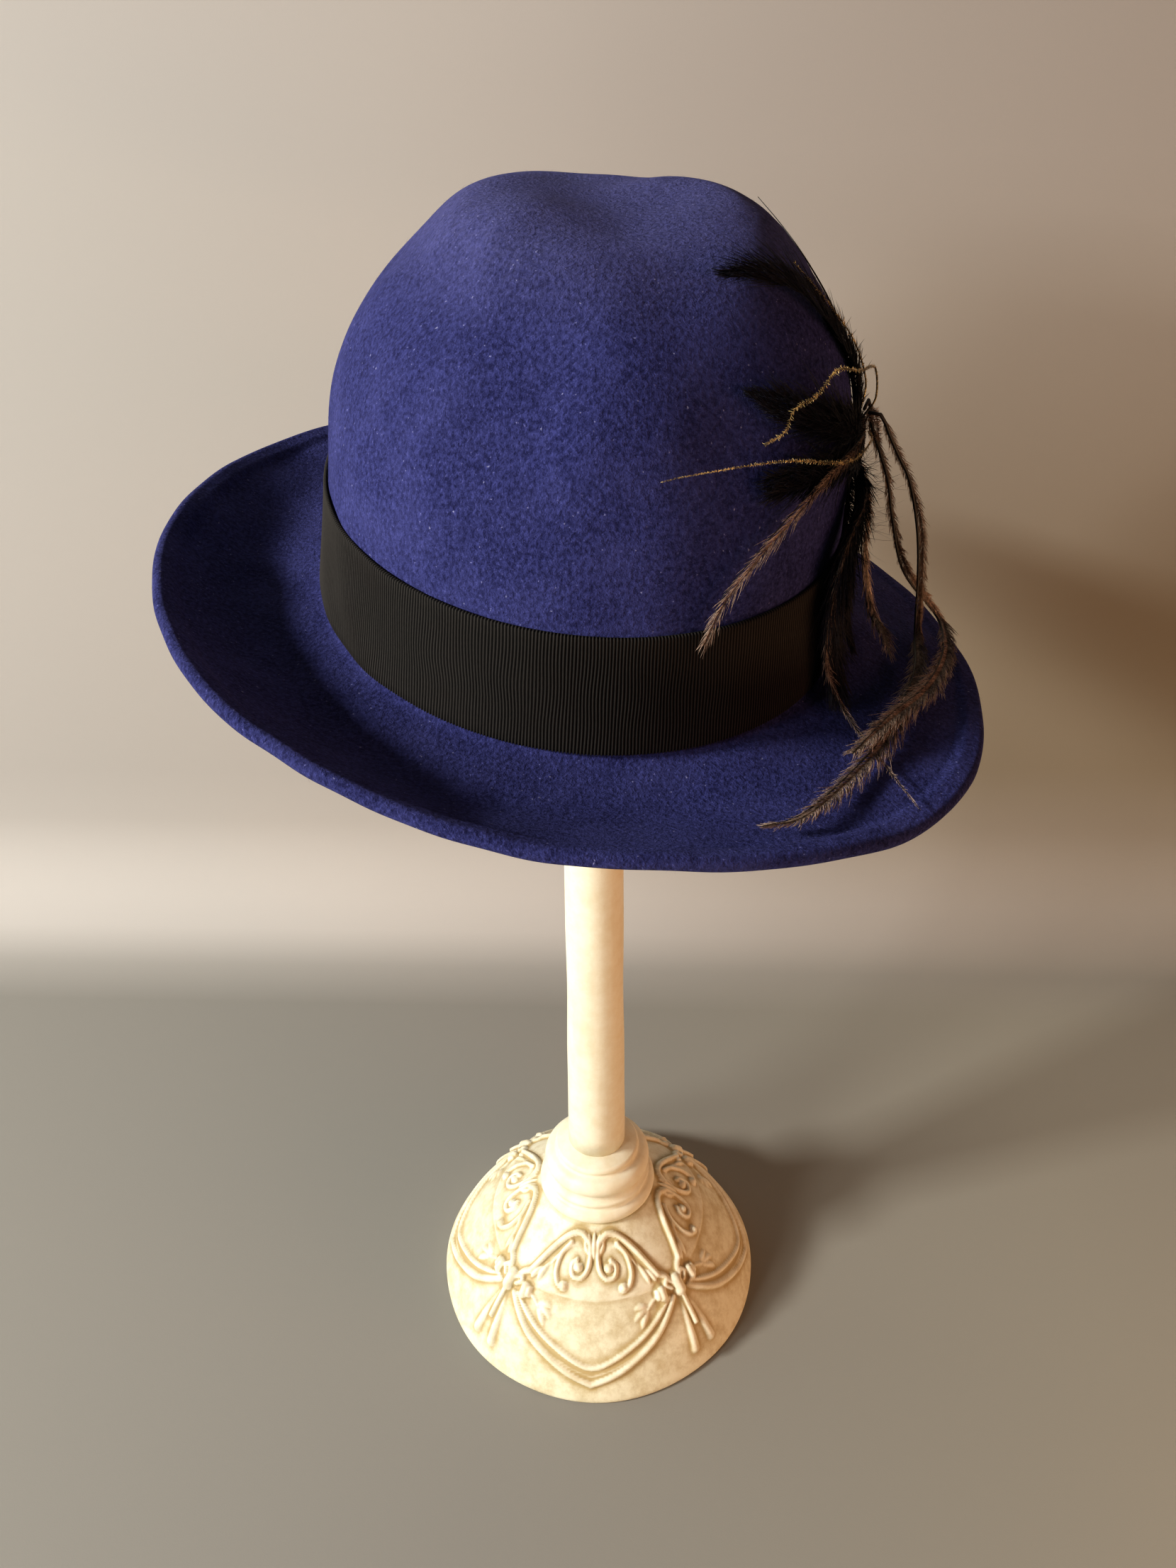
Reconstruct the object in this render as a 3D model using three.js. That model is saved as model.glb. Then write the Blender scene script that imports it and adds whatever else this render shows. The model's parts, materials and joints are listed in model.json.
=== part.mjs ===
// A felt fedora with a ribbon and a spray of feathers, resting on a turned hat stand.
// Millimetres, +Z up. The origin is the middle of the stand's underside, the hat's front faces -Y
// and the feathers are on its +X side.
import * as THREE from "three";
import { LoftGeometry } from "three/addons/geometries/LoftGeometry.js";

// ---------------------------------------------------------------- driving dimensions

const REST_GAP = 0.3; // clear space where one piece rests on another

// How the hat sits: the middle of its head opening, its turn on the stand and its lean.
const HAT = { x: -5, y: 0, height: 379, turn: 14, leanForward: 6.2, leanRight: 2.5 };

const FELT = {
  thick: 2.5,
  breakRadius: 3.5, // the bend where the crown wall turns into the brim
  weltWide: 9.5, // the turned edge, folded over onto the brim
  weltRise: 1.0, // how far the fold stands above and below the single felt
  bearings: 60, // facets around the hat
};

// Half widths of the crown's outside at each height, from the head opening to the tip.
const CROWN = [
  { height: 1.5, left: 85.2, right: 85.2, front: 102.1, back: 102.1 },
  { height: 35, left: 80.7, right: 82.4, front: 98.5, back: 99 },
  { height: 58, left: 78.1, right: 81.8, front: 94.5, back: 96 },
  { height: 77.5, left: 71.6, right: 79, front: 89, back: 91 },
  { height: 93, left: 62.1, right: 73, front: 81, back: 84 },
  { height: 105.6, left: 50, right: 64.7, front: 70, back: 74 },
  { height: 114.3, left: 41.5, right: 56.4, front: 58, back: 62 },
  { height: 120.2, left: 33, right: 48.5, front: 43, back: 47 },
  { height: 123.5, left: 20, right: 36, front: 25, back: 28 },
  { height: 124.5, left: 0, right: 0, front: 0, back: 0 },
];

// The brim every 30 degrees, counted from the right side round by the back: its width along
// the felt, the mean slope in degrees, and how much more the outer part turns up than the inner.
const BRIM = [
  { wide: 54.5, lift: -26.6, curl: 6 }, // right
  { wide: 54.5, lift: -26.8, curl: 8 },
  { wide: 54.5, lift: -13, curl: 10 },
  { wide: 54.5, lift: -2.1, curl: 12 }, // back
  { wide: 54.5, lift: 4.6, curl: 14 },
  { wide: 54.5, lift: 12.9, curl: 18 },
  { wide: 54.5, lift: 18.7, curl: 22 }, // left
  { wide: 55, lift: 20.7, curl: 22 },
  { wide: 54.5, lift: 17.1, curl: 18 },
  { wide: 54, lift: 10.4, curl: 12 }, // front
  { wide: 54, lift: -6.3, curl: 7 },
  { wide: 52, lift: -18.5, curl: 5 },
];

// Soft dents in the crown, each a hollow along a line between two points.
const DENTS = [
  { name: "front left pinch", from: [-43, -66, 85], to: [-31, -58, 103], depth: 3.5, spread: 13 },
  { name: "front right pinch", from: [14, -80, 84], to: [6, -62, 108], depth: 2.5, spread: 12 },
  { name: "crease in the top", from: [8, -20, 124], to: [10, 35, 124], depth: 6, spread: 17 },
  { name: "left shoulder", from: [-52, -15, 108], to: [-52, 30, 108], depth: 2, spread: 14 },
];

const RIBBON = { bottom: 0.6, top: 37, thick: 1, stepsUp: 3 };

// The wrapped stalks that all the feathers come out of, standing on the crown's right side.
const BINDING = { bearing: 335.5, low: 0.2, high: 0.272, radius: 2.2 };

// Where each feather runs. A row gives the bearing in degrees, the run along the felt (0 at the
// head opening, 1 at the crown's tip, -1 at the brim's edge), how far the feather stands off the
// felt, and its width there.
const FEATHERS = {
  hackle_up: {
    thick: 1.2, colour: 0x0d0d16,
    route: [
      { bearing: 334.6, run: 0.2765, off: 1.3, wide: 1 },
      { bearing: 331, run: 0.31, off: 2, wide: 5 },
      { bearing: 329, run: 0.37, off: 2.5, wide: 9 },
      { bearing: 325, run: 0.43, off: 2.5, wide: 11 },
      { bearing: 320, run: 0.5, off: 2.5, wide: 11 },
      { bearing: 314, run: 0.58, off: 2.5, wide: 9 },
      { bearing: 303, run: 0.64, off: 2.5, wide: 5 },
      { bearing: 292, run: 0.665, off: 2.5, wide: 1.2 },
    ],
  },
  hackle_front: {
    thick: 1.2, colour: 0x0a0a12,
    route: [
      { bearing: 333.7, run: 0.262, off: 2.3, wide: 1 },
      { bearing: 322, run: 0.3, off: 2.2, wide: 6 },
      { bearing: 311, run: 0.341, off: 2.2, wide: 13 },
      { bearing: 300, run: 0.382, off: 2.2, wide: 16 },
      { bearing: 293, run: 0.419, off: 2.2, wide: 10 },
      { bearing: 287, run: 0.444, off: 2.2, wide: 1.5 },
    ],
  },
  hackle_low: {
    thick: 1.2, colour: 0x0a0a12,
    route: [
      { bearing: 333.7, run: 0.207, off: 2.3, wide: 1 },
      { bearing: 324, run: 0.25, off: 2.1, wide: 3 },
      { bearing: 314, run: 0.274, off: 2, wide: 6 },
      { bearing: 300, run: 0.292, off: 2, wide: 7 },
      { bearing: 288, run: 0.298, off: 2, wide: 1.2 },
    ],
  },
  hackle_down: {
    thick: 1.4, colour: 0x0a0a12,
    route: [
      { bearing: 334.6, run: 0.195, off: 1.5, wide: 1 },
      { bearing: 327, run: 0.18, off: 3, wide: 6 },
      { bearing: 319, run: 0.16, off: 3.2, wide: 10 },
      { bearing: 312, run: 0.13, off: 3.2, wide: 12 },
      { bearing: 309, run: 0.09, off: 3.2, wide: 12 },
      { bearing: 310, run: 0.03, off: 3.4, wide: 8 },
      { bearing: 308, run: -0.154, off: 3, wide: 1.2 },
    ],
  },
  hackle_side: {
    thick: 1.4, colour: 0x0a0a12,
    route: [
      { bearing: 336.5, run: 0.195, off: 1.5, wide: 1 },
      { bearing: 333, run: 0.16, off: 3, wide: 6 },
      { bearing: 329, run: 0.12, off: 3.2, wide: 10 },
      { bearing: 326, run: 0.07, off: 3.2, wide: 10 },
      { bearing: 325, run: 0.02, off: 3.4, wide: 6 },
      { bearing: 324, run: -0.13, off: 3, wide: 1.2 },
    ],
  },
  quill_long: {
    thick: 0.8, colour: 0x17110d,
    route: [
      { bearing: 336.5, run: 0.275, off: 1.2, wide: 0.9 },
      { bearing: 334, run: 0.4, off: 1.2, wide: 0.9 },
      { bearing: 332, run: 0.5, off: 1.2, wide: 0.9 },
      { bearing: 333, run: 0.6, off: 1.3, wide: 0.9 },
      { bearing: 337, run: 0.7, off: 1.6, wide: 0.8 },
      { bearing: 341, run: 0.79, off: 3.2, wide: 0.7 },
    ],
  },
  herl_up: {
    thick: 0.8, colour: 0x6b5525,
    route: [
      { bearing: 335.4, run: 0.275, off: 2.4, wide: 0.9 },
      { bearing: 334, run: 0.33, off: 4.4, wide: 1 },
      { bearing: 327, run: 0.42, off: 4.6, wide: 1 },
      { bearing: 321, run: 0.5, off: 4.6, wide: 1 },
      { bearing: 317, run: 0.57, off: 4.6, wide: 1 },
      { bearing: 315, run: 0.625, off: 4.6, wide: 0.8 },
    ],
  },
  herl_kinked: {
    thick: 0.9, colour: 0x5c4720,
    route: [
      { bearing: 334.3, run: 0.275, off: 3.7, wide: 0.9 },
      { bearing: 332, run: 0.31, off: 7, wide: 1 },
      { bearing: 328, run: 0.37, off: 8, wide: 1 },
      { bearing: 317, run: 0.4, off: 7.5, wide: 1.2 },
      { bearing: 308, run: 0.426, off: 7, wide: 1.3 },
      { bearing: 300, run: 0.406, off: 7, wide: 1.3 },
      { bearing: 294, run: 0.399, off: 7, wide: 1.3 },
      { bearing: 291, run: 0.37, off: 7, wide: 1.3 },
      { bearing: 286, run: 0.358, off: 7, wide: 1.1 },
    ],
  },
  herl_front: {
    thick: 0.8, colour: 0x746139,
    route: [
      { bearing: 335, run: 0.245, off: 5.2, wide: 0.9 },
      { bearing: 322, run: 0.275, off: 6.6, wide: 1 },
      { bearing: 308, run: 0.287, off: 6.4, wide: 1.1 },
      { bearing: 290, run: 0.328, off: 6, wide: 1.1 },
      { bearing: 271, run: 0.334, off: 5.5, wide: 0.9 },
      { bearing: 265, run: 0.329, off: 5.5, wide: 0.7 },
    ],
  },
  frond_front: {
    thick: 0.8, colour: 0x3d2b22,
    route: [
      { bearing: 333.7, run: 0.235, off: 2.6, wide: 0.9 },
      { bearing: 324, run: 0.28, off: 4.3, wide: 2 },
      { bearing: 314, run: 0.29, off: 4.3, wide: 3.5 },
      { bearing: 305, run: 0.287, off: 4.3, wide: 5 },
      { bearing: 297, run: 0.268, off: 4.3, wide: 5.5 },
      { bearing: 284, run: 0.212, off: 4.2, wide: 5.5 },
      { bearing: 277, run: 0.161, off: 4.2, wide: 5 },
      { bearing: 274, run: 0.108, off: 4.2, wide: 1.5 },
    ],
  },
  frond_side: {
    thick: 0.8, colour: 0x3d2b22,
    route: [
      { bearing: 336.2, run: 0.1975, off: 3.5, wide: 0.9 },
      { bearing: 337, run: 0.13, off: 7, wide: 2 },
      { bearing: 337, run: 0.06, off: 8, wide: 3.5 },
      { bearing: 336, run: -0.18, off: 8, wide: 4.5 },
      { bearing: 331, run: -0.27, off: 6.5, wide: 4 },
      { bearing: 327, run: -0.31, off: 6, wide: 1.2 },
    ],
  },
  frond_brim: {
    thick: 0.8, colour: 0x32231e,
    route: [
      { bearing: 334.6, run: 0.195, off: 3.6, wide: 0.9 },
      { bearing: 320, run: 0.195, off: 6.4, wide: 2 },
      { bearing: 308, run: 0.15, off: 6.2, wide: 4 },
      { bearing: 305, run: 0.092, off: 6.2, wide: 5 },
      { bearing: 304, run: 0.04, off: 6.4, wide: 4 },
      { bearing: 306, run: -0.17, off: 5.5, wide: 2.5 },
      { bearing: 304, run: -0.394, off: 1.3, wide: 2 },
      { bearing: 301, run: -0.56, off: 1.3, wide: 2 },
      { bearing: 294, run: -0.93, off: 2.4, wide: 1 },
    ],
  },
  plume_outer: {
    thick: 0.8, colour: 0x3a2a22,
    route: [
      { bearing: 336.5, run: 0.276, off: 3.9, wide: 0.9 },
      { bearing: 338.6, run: 0.284, off: 6, wide: 1 },
      { bearing: 339.6, run: 0.24, off: 8, wide: 1 },
      { bearing: 340, run: 0.156, off: 16, wide: 1.6 },
      { bearing: 341, run: 0.09, off: 20, wide: 2.2 },
      { bearing: 342, run: 0.02, off: 26, wide: 2.6 },
      { bearing: 345, run: -0.8, off: 7, wide: 4 },
      { bearing: 337, run: -0.77, off: 5.4, wide: 6 },
      { bearing: 328, run: -0.677, off: 5.4, wide: 7.5 },
      { bearing: 319, run: -0.577, off: 5.4, wide: 8 },
      { bearing: 309, run: -0.47, off: 5.4, wide: 7 },
      { bearing: 296, run: -0.48, off: 5.2, wide: 1.5 },
    ],
  },
  plume_inner: {
    thick: 0.8, colour: 0x3a2a22,
    route: [
      { bearing: 335.2, run: 0.276, off: 4.9, wide: 0.9 },
      { bearing: 335.4, run: 0.268, off: 9, wide: 1 },
      { bearing: 336.4, run: 0.232, off: 12, wide: 1 },
      { bearing: 338, run: 0.195, off: 16, wide: 1.4 },
      { bearing: 339, run: 0.153, off: 21, wide: 2 },
      { bearing: 339, run: 0.085, off: 25.5, wide: 2.4 },
      { bearing: 339.5, run: 0.03, off: 28, wide: 3 },
      { bearing: 339, run: -0.6, off: 4.5, wide: 5 },
      { bearing: 325, run: -0.54, off: 3.2, wide: 7 },
      { bearing: 306, run: -0.5, off: 3.2, wide: 8 },
      { bearing: 292, run: -0.558, off: 3, wide: 7 },
      { bearing: 280, run: -0.72, off: 3.2, wide: 4 },
      { bearing: 274, run: -0.78, off: 3.4, wide: 1 },
    ],
  },
};

// The stand: a domed foot, a ringed collar, a tapering pole and the hidden cap under the crown.
const STAND = {
  facets: 40,
  domeTop: 60,
  collarTop: 92.4,
  poleFoot: 13.2, // the pole's radius at the collar
  poleHead: 10, // and under the cap
  capRadius: 34,
  capThick: 12,
  capTop: 494.4,
};

const DOME = [
  { radius: 77, height: 0 },
  { radius: 78, height: 1.2 },
  { radius: 77.6, height: 3.5 },
  { radius: 75.5, height: 8 },
  { radius: 72, height: 15 },
  { radius: 66.5, height: 23 },
  { radius: 60, height: 31 },
  { radius: 52.5, height: 39 },
  { radius: 43.5, height: 47 },
  { radius: 34.5, height: 54 },
  { radius: 27, height: STAND.domeTop },
];

// The collar's rounded rings, from the dome up: the middle of each ring and its round.
const COLLAR_RINGS = [
  { radius: 23.6, height: 64.4, round: 4.1 },
  { radius: 23.4, height: 71.4, round: 1.6 },
  { radius: 19.3, height: 80.3, round: 5.6 },
  { radius: 17.6, height: 88.4, round: 2.2 },
];

// ---------------------------------------------------------------- tables and small helpers

const radians = THREE.MathUtils.degToRad;
const { clamp, smoothstep } = THREE.MathUtils;

/** A smooth curve's value at f of the way from b to c, with a before b and d after c. */
function blend(a, b, c, d, f) {
  return b + 0.5 * f * (c - a + f * (2 * a - 5 * b + 4 * c - d + f * (3 * (b - c) + d - a)));
}

/** The rows of a table, blended smoothly at a place counted in rows. */
function rowAt(table, place, goesRound) {
  const last = table.length - 1;
  const first = goesRound ? Math.floor(place) : clamp(Math.floor(place), 0, last - 1);
  const column = (key) => (i) => {
    if (goesRound) return table[(i + table.length) % table.length][key];
    if (i < 0) return 2 * table[0][key] - table[1][key];
    if (i > last) return 2 * table[last][key] - table[last - 1][key];
    return table[i][key];
  };
  const row = {};
  for (const key of Object.keys(table[0])) {
    const value = column(key);
    row[key] = blend(value(first - 1), value(first), value(first + 1), value(first + 2), place - first);
  }
  return row;
}

// ---------------------------------------------------------------- the felt's outside

/** A point of the crown's outside before it is dented: run 0 at the opening, 1 at the tip. */
function crownPoint(bearing, run) {
  const row = rowAt(CROWN, run * (CROWN.length - 1), false);
  const across = Math.cos(bearing);
  const along = Math.sin(bearing);
  return new THREE.Vector3(
    across * (across > 0 ? row.right : row.left),
    along * (along > 0 ? row.back : row.front),
    row.height,
  );
}

/** A point of the brim's upper side, reached by following the felt's slope out from the crown. */
function brimPoint(bearing, run) {
  const STEPS = 60;
  const turn = THREE.MathUtils.euclideanModulo(bearing, 2 * Math.PI);
  const row = rowAt(BRIM, (turn / (2 * Math.PI)) * BRIM.length, true);
  const firstSlope = row.lift - 1.25 * row.curl;
  const bend = FELT.breakRadius * radians(90 + firstSlope);
  const whole = row.wide + bend;
  let out = 0;
  let up = 0;
  const reach = -run * STEPS;
  for (let step = 0; step < reach; step += 1) {
    const part = Math.min(1, reach - step);
    const gone = ((step + 0.5) / STEPS) * whole;
    const share = smoothstep((gone - bend) / row.wide, 0.1, 0.65);
    const slope =
      gone < bend
        ? radians(-90) + gone / FELT.breakRadius
        : radians(row.lift + row.curl * (2 * share - 1.25));
    out += Math.cos(slope) * (whole / STEPS) * part;
    up += Math.sin(slope) * (whole / STEPS) * part;
  }
  const opening = crownPoint(bearing, 0);
  const outward = new THREE.Vector3(
    Math.cos(bearing) / CROWN[0].left,
    Math.sin(bearing) / CROWN[0].front,
    0,
  ).normalize();
  return opening.addScaledVector(outward, out).setZ(CROWN[0].height + up);
}

function smoothFelt(bearing, run) {
  return run < 0 ? brimPoint(bearing, run) : crownPoint(bearing, run);
}

/** The outward direction of a surface that is given as a function of bearing and run. */
function facing(surface, bearing, run) {
  const STEP = 0.002;
  const round = surface(bearing + STEP, run).sub(surface(bearing - STEP, run));
  const high = Math.min(run + STEP, 1);
  const low = Math.max(run - STEP, -1);
  return round.cross(surface(bearing, high).sub(surface(bearing, low))).normalize();
}

/** How deep the dents are at a point, each fading off from its line like a bell curve. */
function dentDepth(point) {
  let depth = 0;
  for (const dent of DENTS) {
    const line = new THREE.Line3(new THREE.Vector3(...dent.from), new THREE.Vector3(...dent.to));
    const nearest = line.closestPointToPoint(point, true, new THREE.Vector3());
    depth += dent.depth * Math.exp(-nearest.distanceToSquared(point) / (2 * dent.spread ** 2));
  }
  return depth;
}

/** The felt's finished outside: the smooth form pushed in where it is dented. */
function feltPoint(bearing, run) {
  const point = smoothFelt(bearing, run);
  return point.addScaledVector(facing(smoothFelt, bearing, run), -dentDepth(point));
}

/** A point off the felt, on the side that faces outward, and the way that it faces. */
function standOff(bearing, run, off) {
  const outward = facing(feltPoint, bearing, run);
  return { point: feltPoint(bearing, run).addScaledVector(outward, off), outward };
}

// ---------------------------------------------------------------- pieces of the hat

const material = (color, roughness) => new THREE.MeshStandardMaterial({ color, roughness, metalness: 0 });

function piece(name, geometry, look) {
  const mesh = new THREE.Mesh(geometry, look);
  mesh.name = name;
  return mesh;
}

/** One ring of points round the hat, each made by a function of its bearing. */
function ring(pointAt) {
  const bearings = Array.from({ length: FELT.bearings }, (_, i) => (i / FELT.bearings) * 2 * Math.PI);
  return bearings.map(pointAt);
}

/** A ring drawn together into the one point in its middle. */
function gathered(points) {
  const middle = points.reduce((sum, point) => sum.add(point), new THREE.Vector3());
  middle.divideScalar(points.length);
  return points.map(() => middle.clone());
}

/** Crown and brim as one wall of felt, with the edge of the brim folded over into a welt. */
function feltBody() {
  const CROWN_RUNS = [0.98, 0.94, 0.88, 0.8, 0.72, 0.64, 0.55, 0.45, 0.35, 0.25, 0.12, 0.03, 0];
  const BRIM_RUNS = [-0.03, -0.06, -0.1, -0.2, -0.32, -0.46, -0.6, -0.74];
  const whole = BRIM[0].wide + FELT.breakRadius;
  const edgeRound = FELT.thick / 2 + FELT.weltRise;
  const weltRuns = [0, 0.12, 0.25, 0.6, 1].map(
    (share) => -1 + (edgeRound + (1 - share) * (FELT.weltWide - edgeRound)) / whole,
  );
  const runs = [...CROWN_RUNS, ...BRIM_RUNS, ...weltRuns];
  const rise = (run) => FELT.weltRise * smoothstep(-run, -weltRuns[0], -weltRuns[2]);

  const inside = runs.map((run) =>
    ring((bearing) => standOff(bearing, run, -FELT.thick - rise(run)).point),
  );
  const outside = runs.map((run) => ring((bearing) => standOff(bearing, run, rise(run)).point));
  const edge = [-55, -20, 20, 55].map((degrees) =>
    ring((bearing) => {
      const run = weltRuns.at(-1);
      const { point, outward } = standOff(bearing, run, -FELT.thick / 2);
      const away = standOff(bearing, run - 0.01, -FELT.thick / 2).point.sub(point).normalize();
      return point
        .addScaledVector(away, edgeRound * Math.cos(radians(degrees)))
        .addScaledVector(outward, edgeRound * Math.sin(radians(degrees)));
    }),
  );
  const rings = [gathered(inside[0]), ...inside, ...edge, ...outside.reverse(), gathered(outside.at(-1))];
  return piece("felt_body", new LoftGeometry(rings), material(0x2c2f63, 0.95));
}

/** The ribbon: a band of even thickness that follows the crown just above the brim. */
function ribbonBand() {
  const runOf = (height) => (height - CROWN[0].height) / (CROWN[1].height - CROWN[0].height) / (CROWN.length - 1);
  const steps = Array.from({ length: RIBBON.stepsUp + 1 }, (_, i) => i / RIBBON.stepsUp);
  const heights = steps.map((share) => RIBBON.bottom + share * (RIBBON.top - RIBBON.bottom));
  const wall = (off) =>
    heights.map((height) =>
      ring((bearing) => {
        const { point } = standOff(bearing, Math.max(runOf(height), 0.001), off);
        return point.setZ(height);
      }),
    );
  const inner = wall(REST_GAP + 0.15);
  const outer = wall(REST_GAP + 0.15 + RIBBON.thick);
  const rings = [...inner, ...outer.reverse(), inner[0]];
  return piece("ribbon_band", new LoftGeometry(rings.map((points) => [...points].reverse())), material(0x1c191a, 0.7));
}

/** The bound stalks: a short rod with rounded ends, lying on the crown. */
function featherBinding() {
  const SIDES = 10;
  const low = standOff(radians(BINDING.bearing), BINDING.low, BINDING.radius + REST_GAP).point;
  const high = standOff(radians(BINDING.bearing), BINDING.high, BINDING.radius + REST_GAP).point;
  const length = low.distanceTo(high);
  const rod = new THREE.CylinderGeometry(BINDING.radius, BINDING.radius, length, SIDES);
  const mesh = piece("feather_binding", rod, material(0x0b0a0a, 0.7));
  mesh.position.copy(low).lerp(high, 0.5);
  mesh.quaternion.setFromUnitVectors(new THREE.Vector3(0, 1, 0), high.sub(low).normalize());
  return mesh;
}

/** A feather's outer form: a flat lozenge section carried along the feather's route. */
function feather(name, { thick, colour, route }) {
  const STEPS_PER_ROW = 2;
  const stations = route.map(({ bearing, run, off }) => standOff(radians(bearing), run, off));
  const path = new THREE.CatmullRomCurve3(stations.map(({ point }) => point));
  const facings = new THREE.CatmullRomCurve3(stations.map(({ outward }) => outward));
  const widths = new THREE.CatmullRomCurve3(route.map(({ wide }) => new THREE.Vector3(wide, 0, 0)));
  const count = (route.length - 1) * STEPS_PER_ROW;
  const sections = [];
  for (let i = 0; i <= count; i += 1) {
    const along = path.getTangent(i / count);
    const side = along.clone().cross(facings.getPoint(i / count)).normalize();
    const up = side.clone().cross(along).normalize();
    const half = widths.getPoint(i / count).x / 2;
    const corner = (across, out) =>
      path.getPoint(i / count).addScaledVector(side, across * half).addScaledVector(up, (out * thick) / 2);
    sections.push([
      corner(1, 0),
      corner(0.5, -1),
      corner(-0.5, -1),
      corner(-1, 0),
      corner(-0.5, 1),
      corner(0.5, 1),
    ]);
  }
  return piece(name, new LoftGeometry(sections, { capStart: true, capEnd: true }), material(colour, 0.6));
}

// ---------------------------------------------------------------- pieces of the stand

/** A turned piece: a closed profile of radius and height spun about the upright axis. */
function turned(name, profile, look) {
  const points = profile.map(({ radius, height }) => new THREE.Vector2(radius, height));
  return piece(name, new THREE.LatheGeometry(points, STAND.facets).rotateX(Math.PI / 2), look);
}

/** Points round the outside of a ring's section, from its underside to its top. */
function ringProfile({ radius, height, round }) {
  return [-50, -10, 30, 70].map((degrees) => ({
    radius: radius + round * Math.cos(radians(degrees)),
    height: height + round * Math.sin(radians(degrees)),
  }));
}

function standPieces() {
  const paint = material(0xefe3c0, 0.55);
  const onAxis = (height) => ({ radius: 0, height });
  const collarFoot = STAND.domeTop + REST_GAP;
  const collar = [
    onAxis(collarFoot),
    { radius: 25, height: collarFoot },
    ...COLLAR_RINGS.flatMap(ringProfile),
    { radius: 15.5, height: STAND.collarTop },
    onAxis(STAND.collarTop),
  ];
  const poleFoot = STAND.collarTop + REST_GAP;
  const capFoot = STAND.capTop - STAND.capThick;
  const poleTop = capFoot - REST_GAP;
  const capSteps = [0, 0.2, 0.4, 0.6, 0.8];
  const capDome = capSteps.map((share) => ({
    radius: STAND.capRadius * Math.cos((share * Math.PI) / 2),
    height: capFoot + 3 + (STAND.capThick - 3) * Math.sin((share * Math.PI) / 2),
  }));
  return [
    turned("stand_base", [onAxis(0), ...DOME, onAxis(STAND.domeTop)], paint),
    turned("stand_collar", collar, paint),
    turned(
      "stand_pole",
      [
        onAxis(poleFoot),
        { radius: STAND.poleFoot, height: poleFoot },
        { radius: STAND.poleHead, height: poleTop },
        onAxis(poleTop),
      ],
      paint,
    ),
    turned(
      "stand_cap",
      [
        onAxis(capFoot),
        { radius: STAND.capRadius - 2, height: capFoot },
        ...capDome,
        onAxis(STAND.capTop),
      ],
      paint,
    ),
  ];
}

// ---------------------------------------------------------------- assembly

const hat = new THREE.Group();
hat.position.set(HAT.x, HAT.y, HAT.height);
hat.rotation.set(radians(HAT.leanForward), radians(HAT.leanRight), radians(HAT.turn), "YXZ");
hat.add(feltBody(), ribbonBand(), featherBinding());
for (const [name, form] of Object.entries(FEATHERS)) hat.add(feather(name, form));

const fedoraOnStand = new THREE.Group();
fedoraOnStand.add(hat, ...standPieces());
export default fedoraOnStand;
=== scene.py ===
# %% [markdown]
# # A felt fedora on a turned stand
# This lesson dresses a fedora, its ribbon, its feathers and the cream stand that it rests on.
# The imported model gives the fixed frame: every piece made here takes the place that its plain
# solid holds there. Shapes are surfaces worked out with numpy, so that one formula makes a whole
# surface at once, and every finish is built from nodes. Lengths are in millimetres until the
# moment a mesh is made, when they become metres.

import bpy
import json
import numpy as np
from mathutils import Matrix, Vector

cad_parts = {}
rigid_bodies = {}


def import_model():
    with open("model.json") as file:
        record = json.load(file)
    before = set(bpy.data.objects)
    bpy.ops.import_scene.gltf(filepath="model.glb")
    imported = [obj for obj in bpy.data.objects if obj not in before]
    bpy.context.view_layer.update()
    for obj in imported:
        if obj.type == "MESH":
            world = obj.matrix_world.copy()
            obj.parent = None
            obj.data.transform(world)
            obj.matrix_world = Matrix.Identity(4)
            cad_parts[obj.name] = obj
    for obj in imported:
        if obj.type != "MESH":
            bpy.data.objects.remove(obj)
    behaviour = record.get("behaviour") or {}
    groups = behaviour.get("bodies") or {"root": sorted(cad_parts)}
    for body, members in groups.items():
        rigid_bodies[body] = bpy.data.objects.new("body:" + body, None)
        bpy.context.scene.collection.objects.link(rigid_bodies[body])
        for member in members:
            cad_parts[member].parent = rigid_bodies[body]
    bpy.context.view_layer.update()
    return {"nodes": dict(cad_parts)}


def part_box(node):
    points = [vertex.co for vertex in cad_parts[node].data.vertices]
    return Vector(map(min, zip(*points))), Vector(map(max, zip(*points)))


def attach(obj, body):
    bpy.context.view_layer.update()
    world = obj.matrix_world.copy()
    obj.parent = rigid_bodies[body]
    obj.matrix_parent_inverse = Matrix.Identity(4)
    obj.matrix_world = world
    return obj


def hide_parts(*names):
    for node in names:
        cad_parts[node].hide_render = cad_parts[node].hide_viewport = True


for leftover in list(bpy.data.objects):  # the cube, lamp and camera that Blender may open with
    bpy.data.objects.remove(leftover)
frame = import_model()
MM = 0.001
print("the frame holds", len(frame["nodes"]), "nodes")

# %% [markdown]
# ## Putting arrays into meshes
# Blender takes a whole array of corners with foreach_set, which is far quicker than a loop.
# A grid of points becomes a skin of four-sided faces. A grid that goes round joins its last
# column to its first, and a row that is one point over and over closes a pole.

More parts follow.
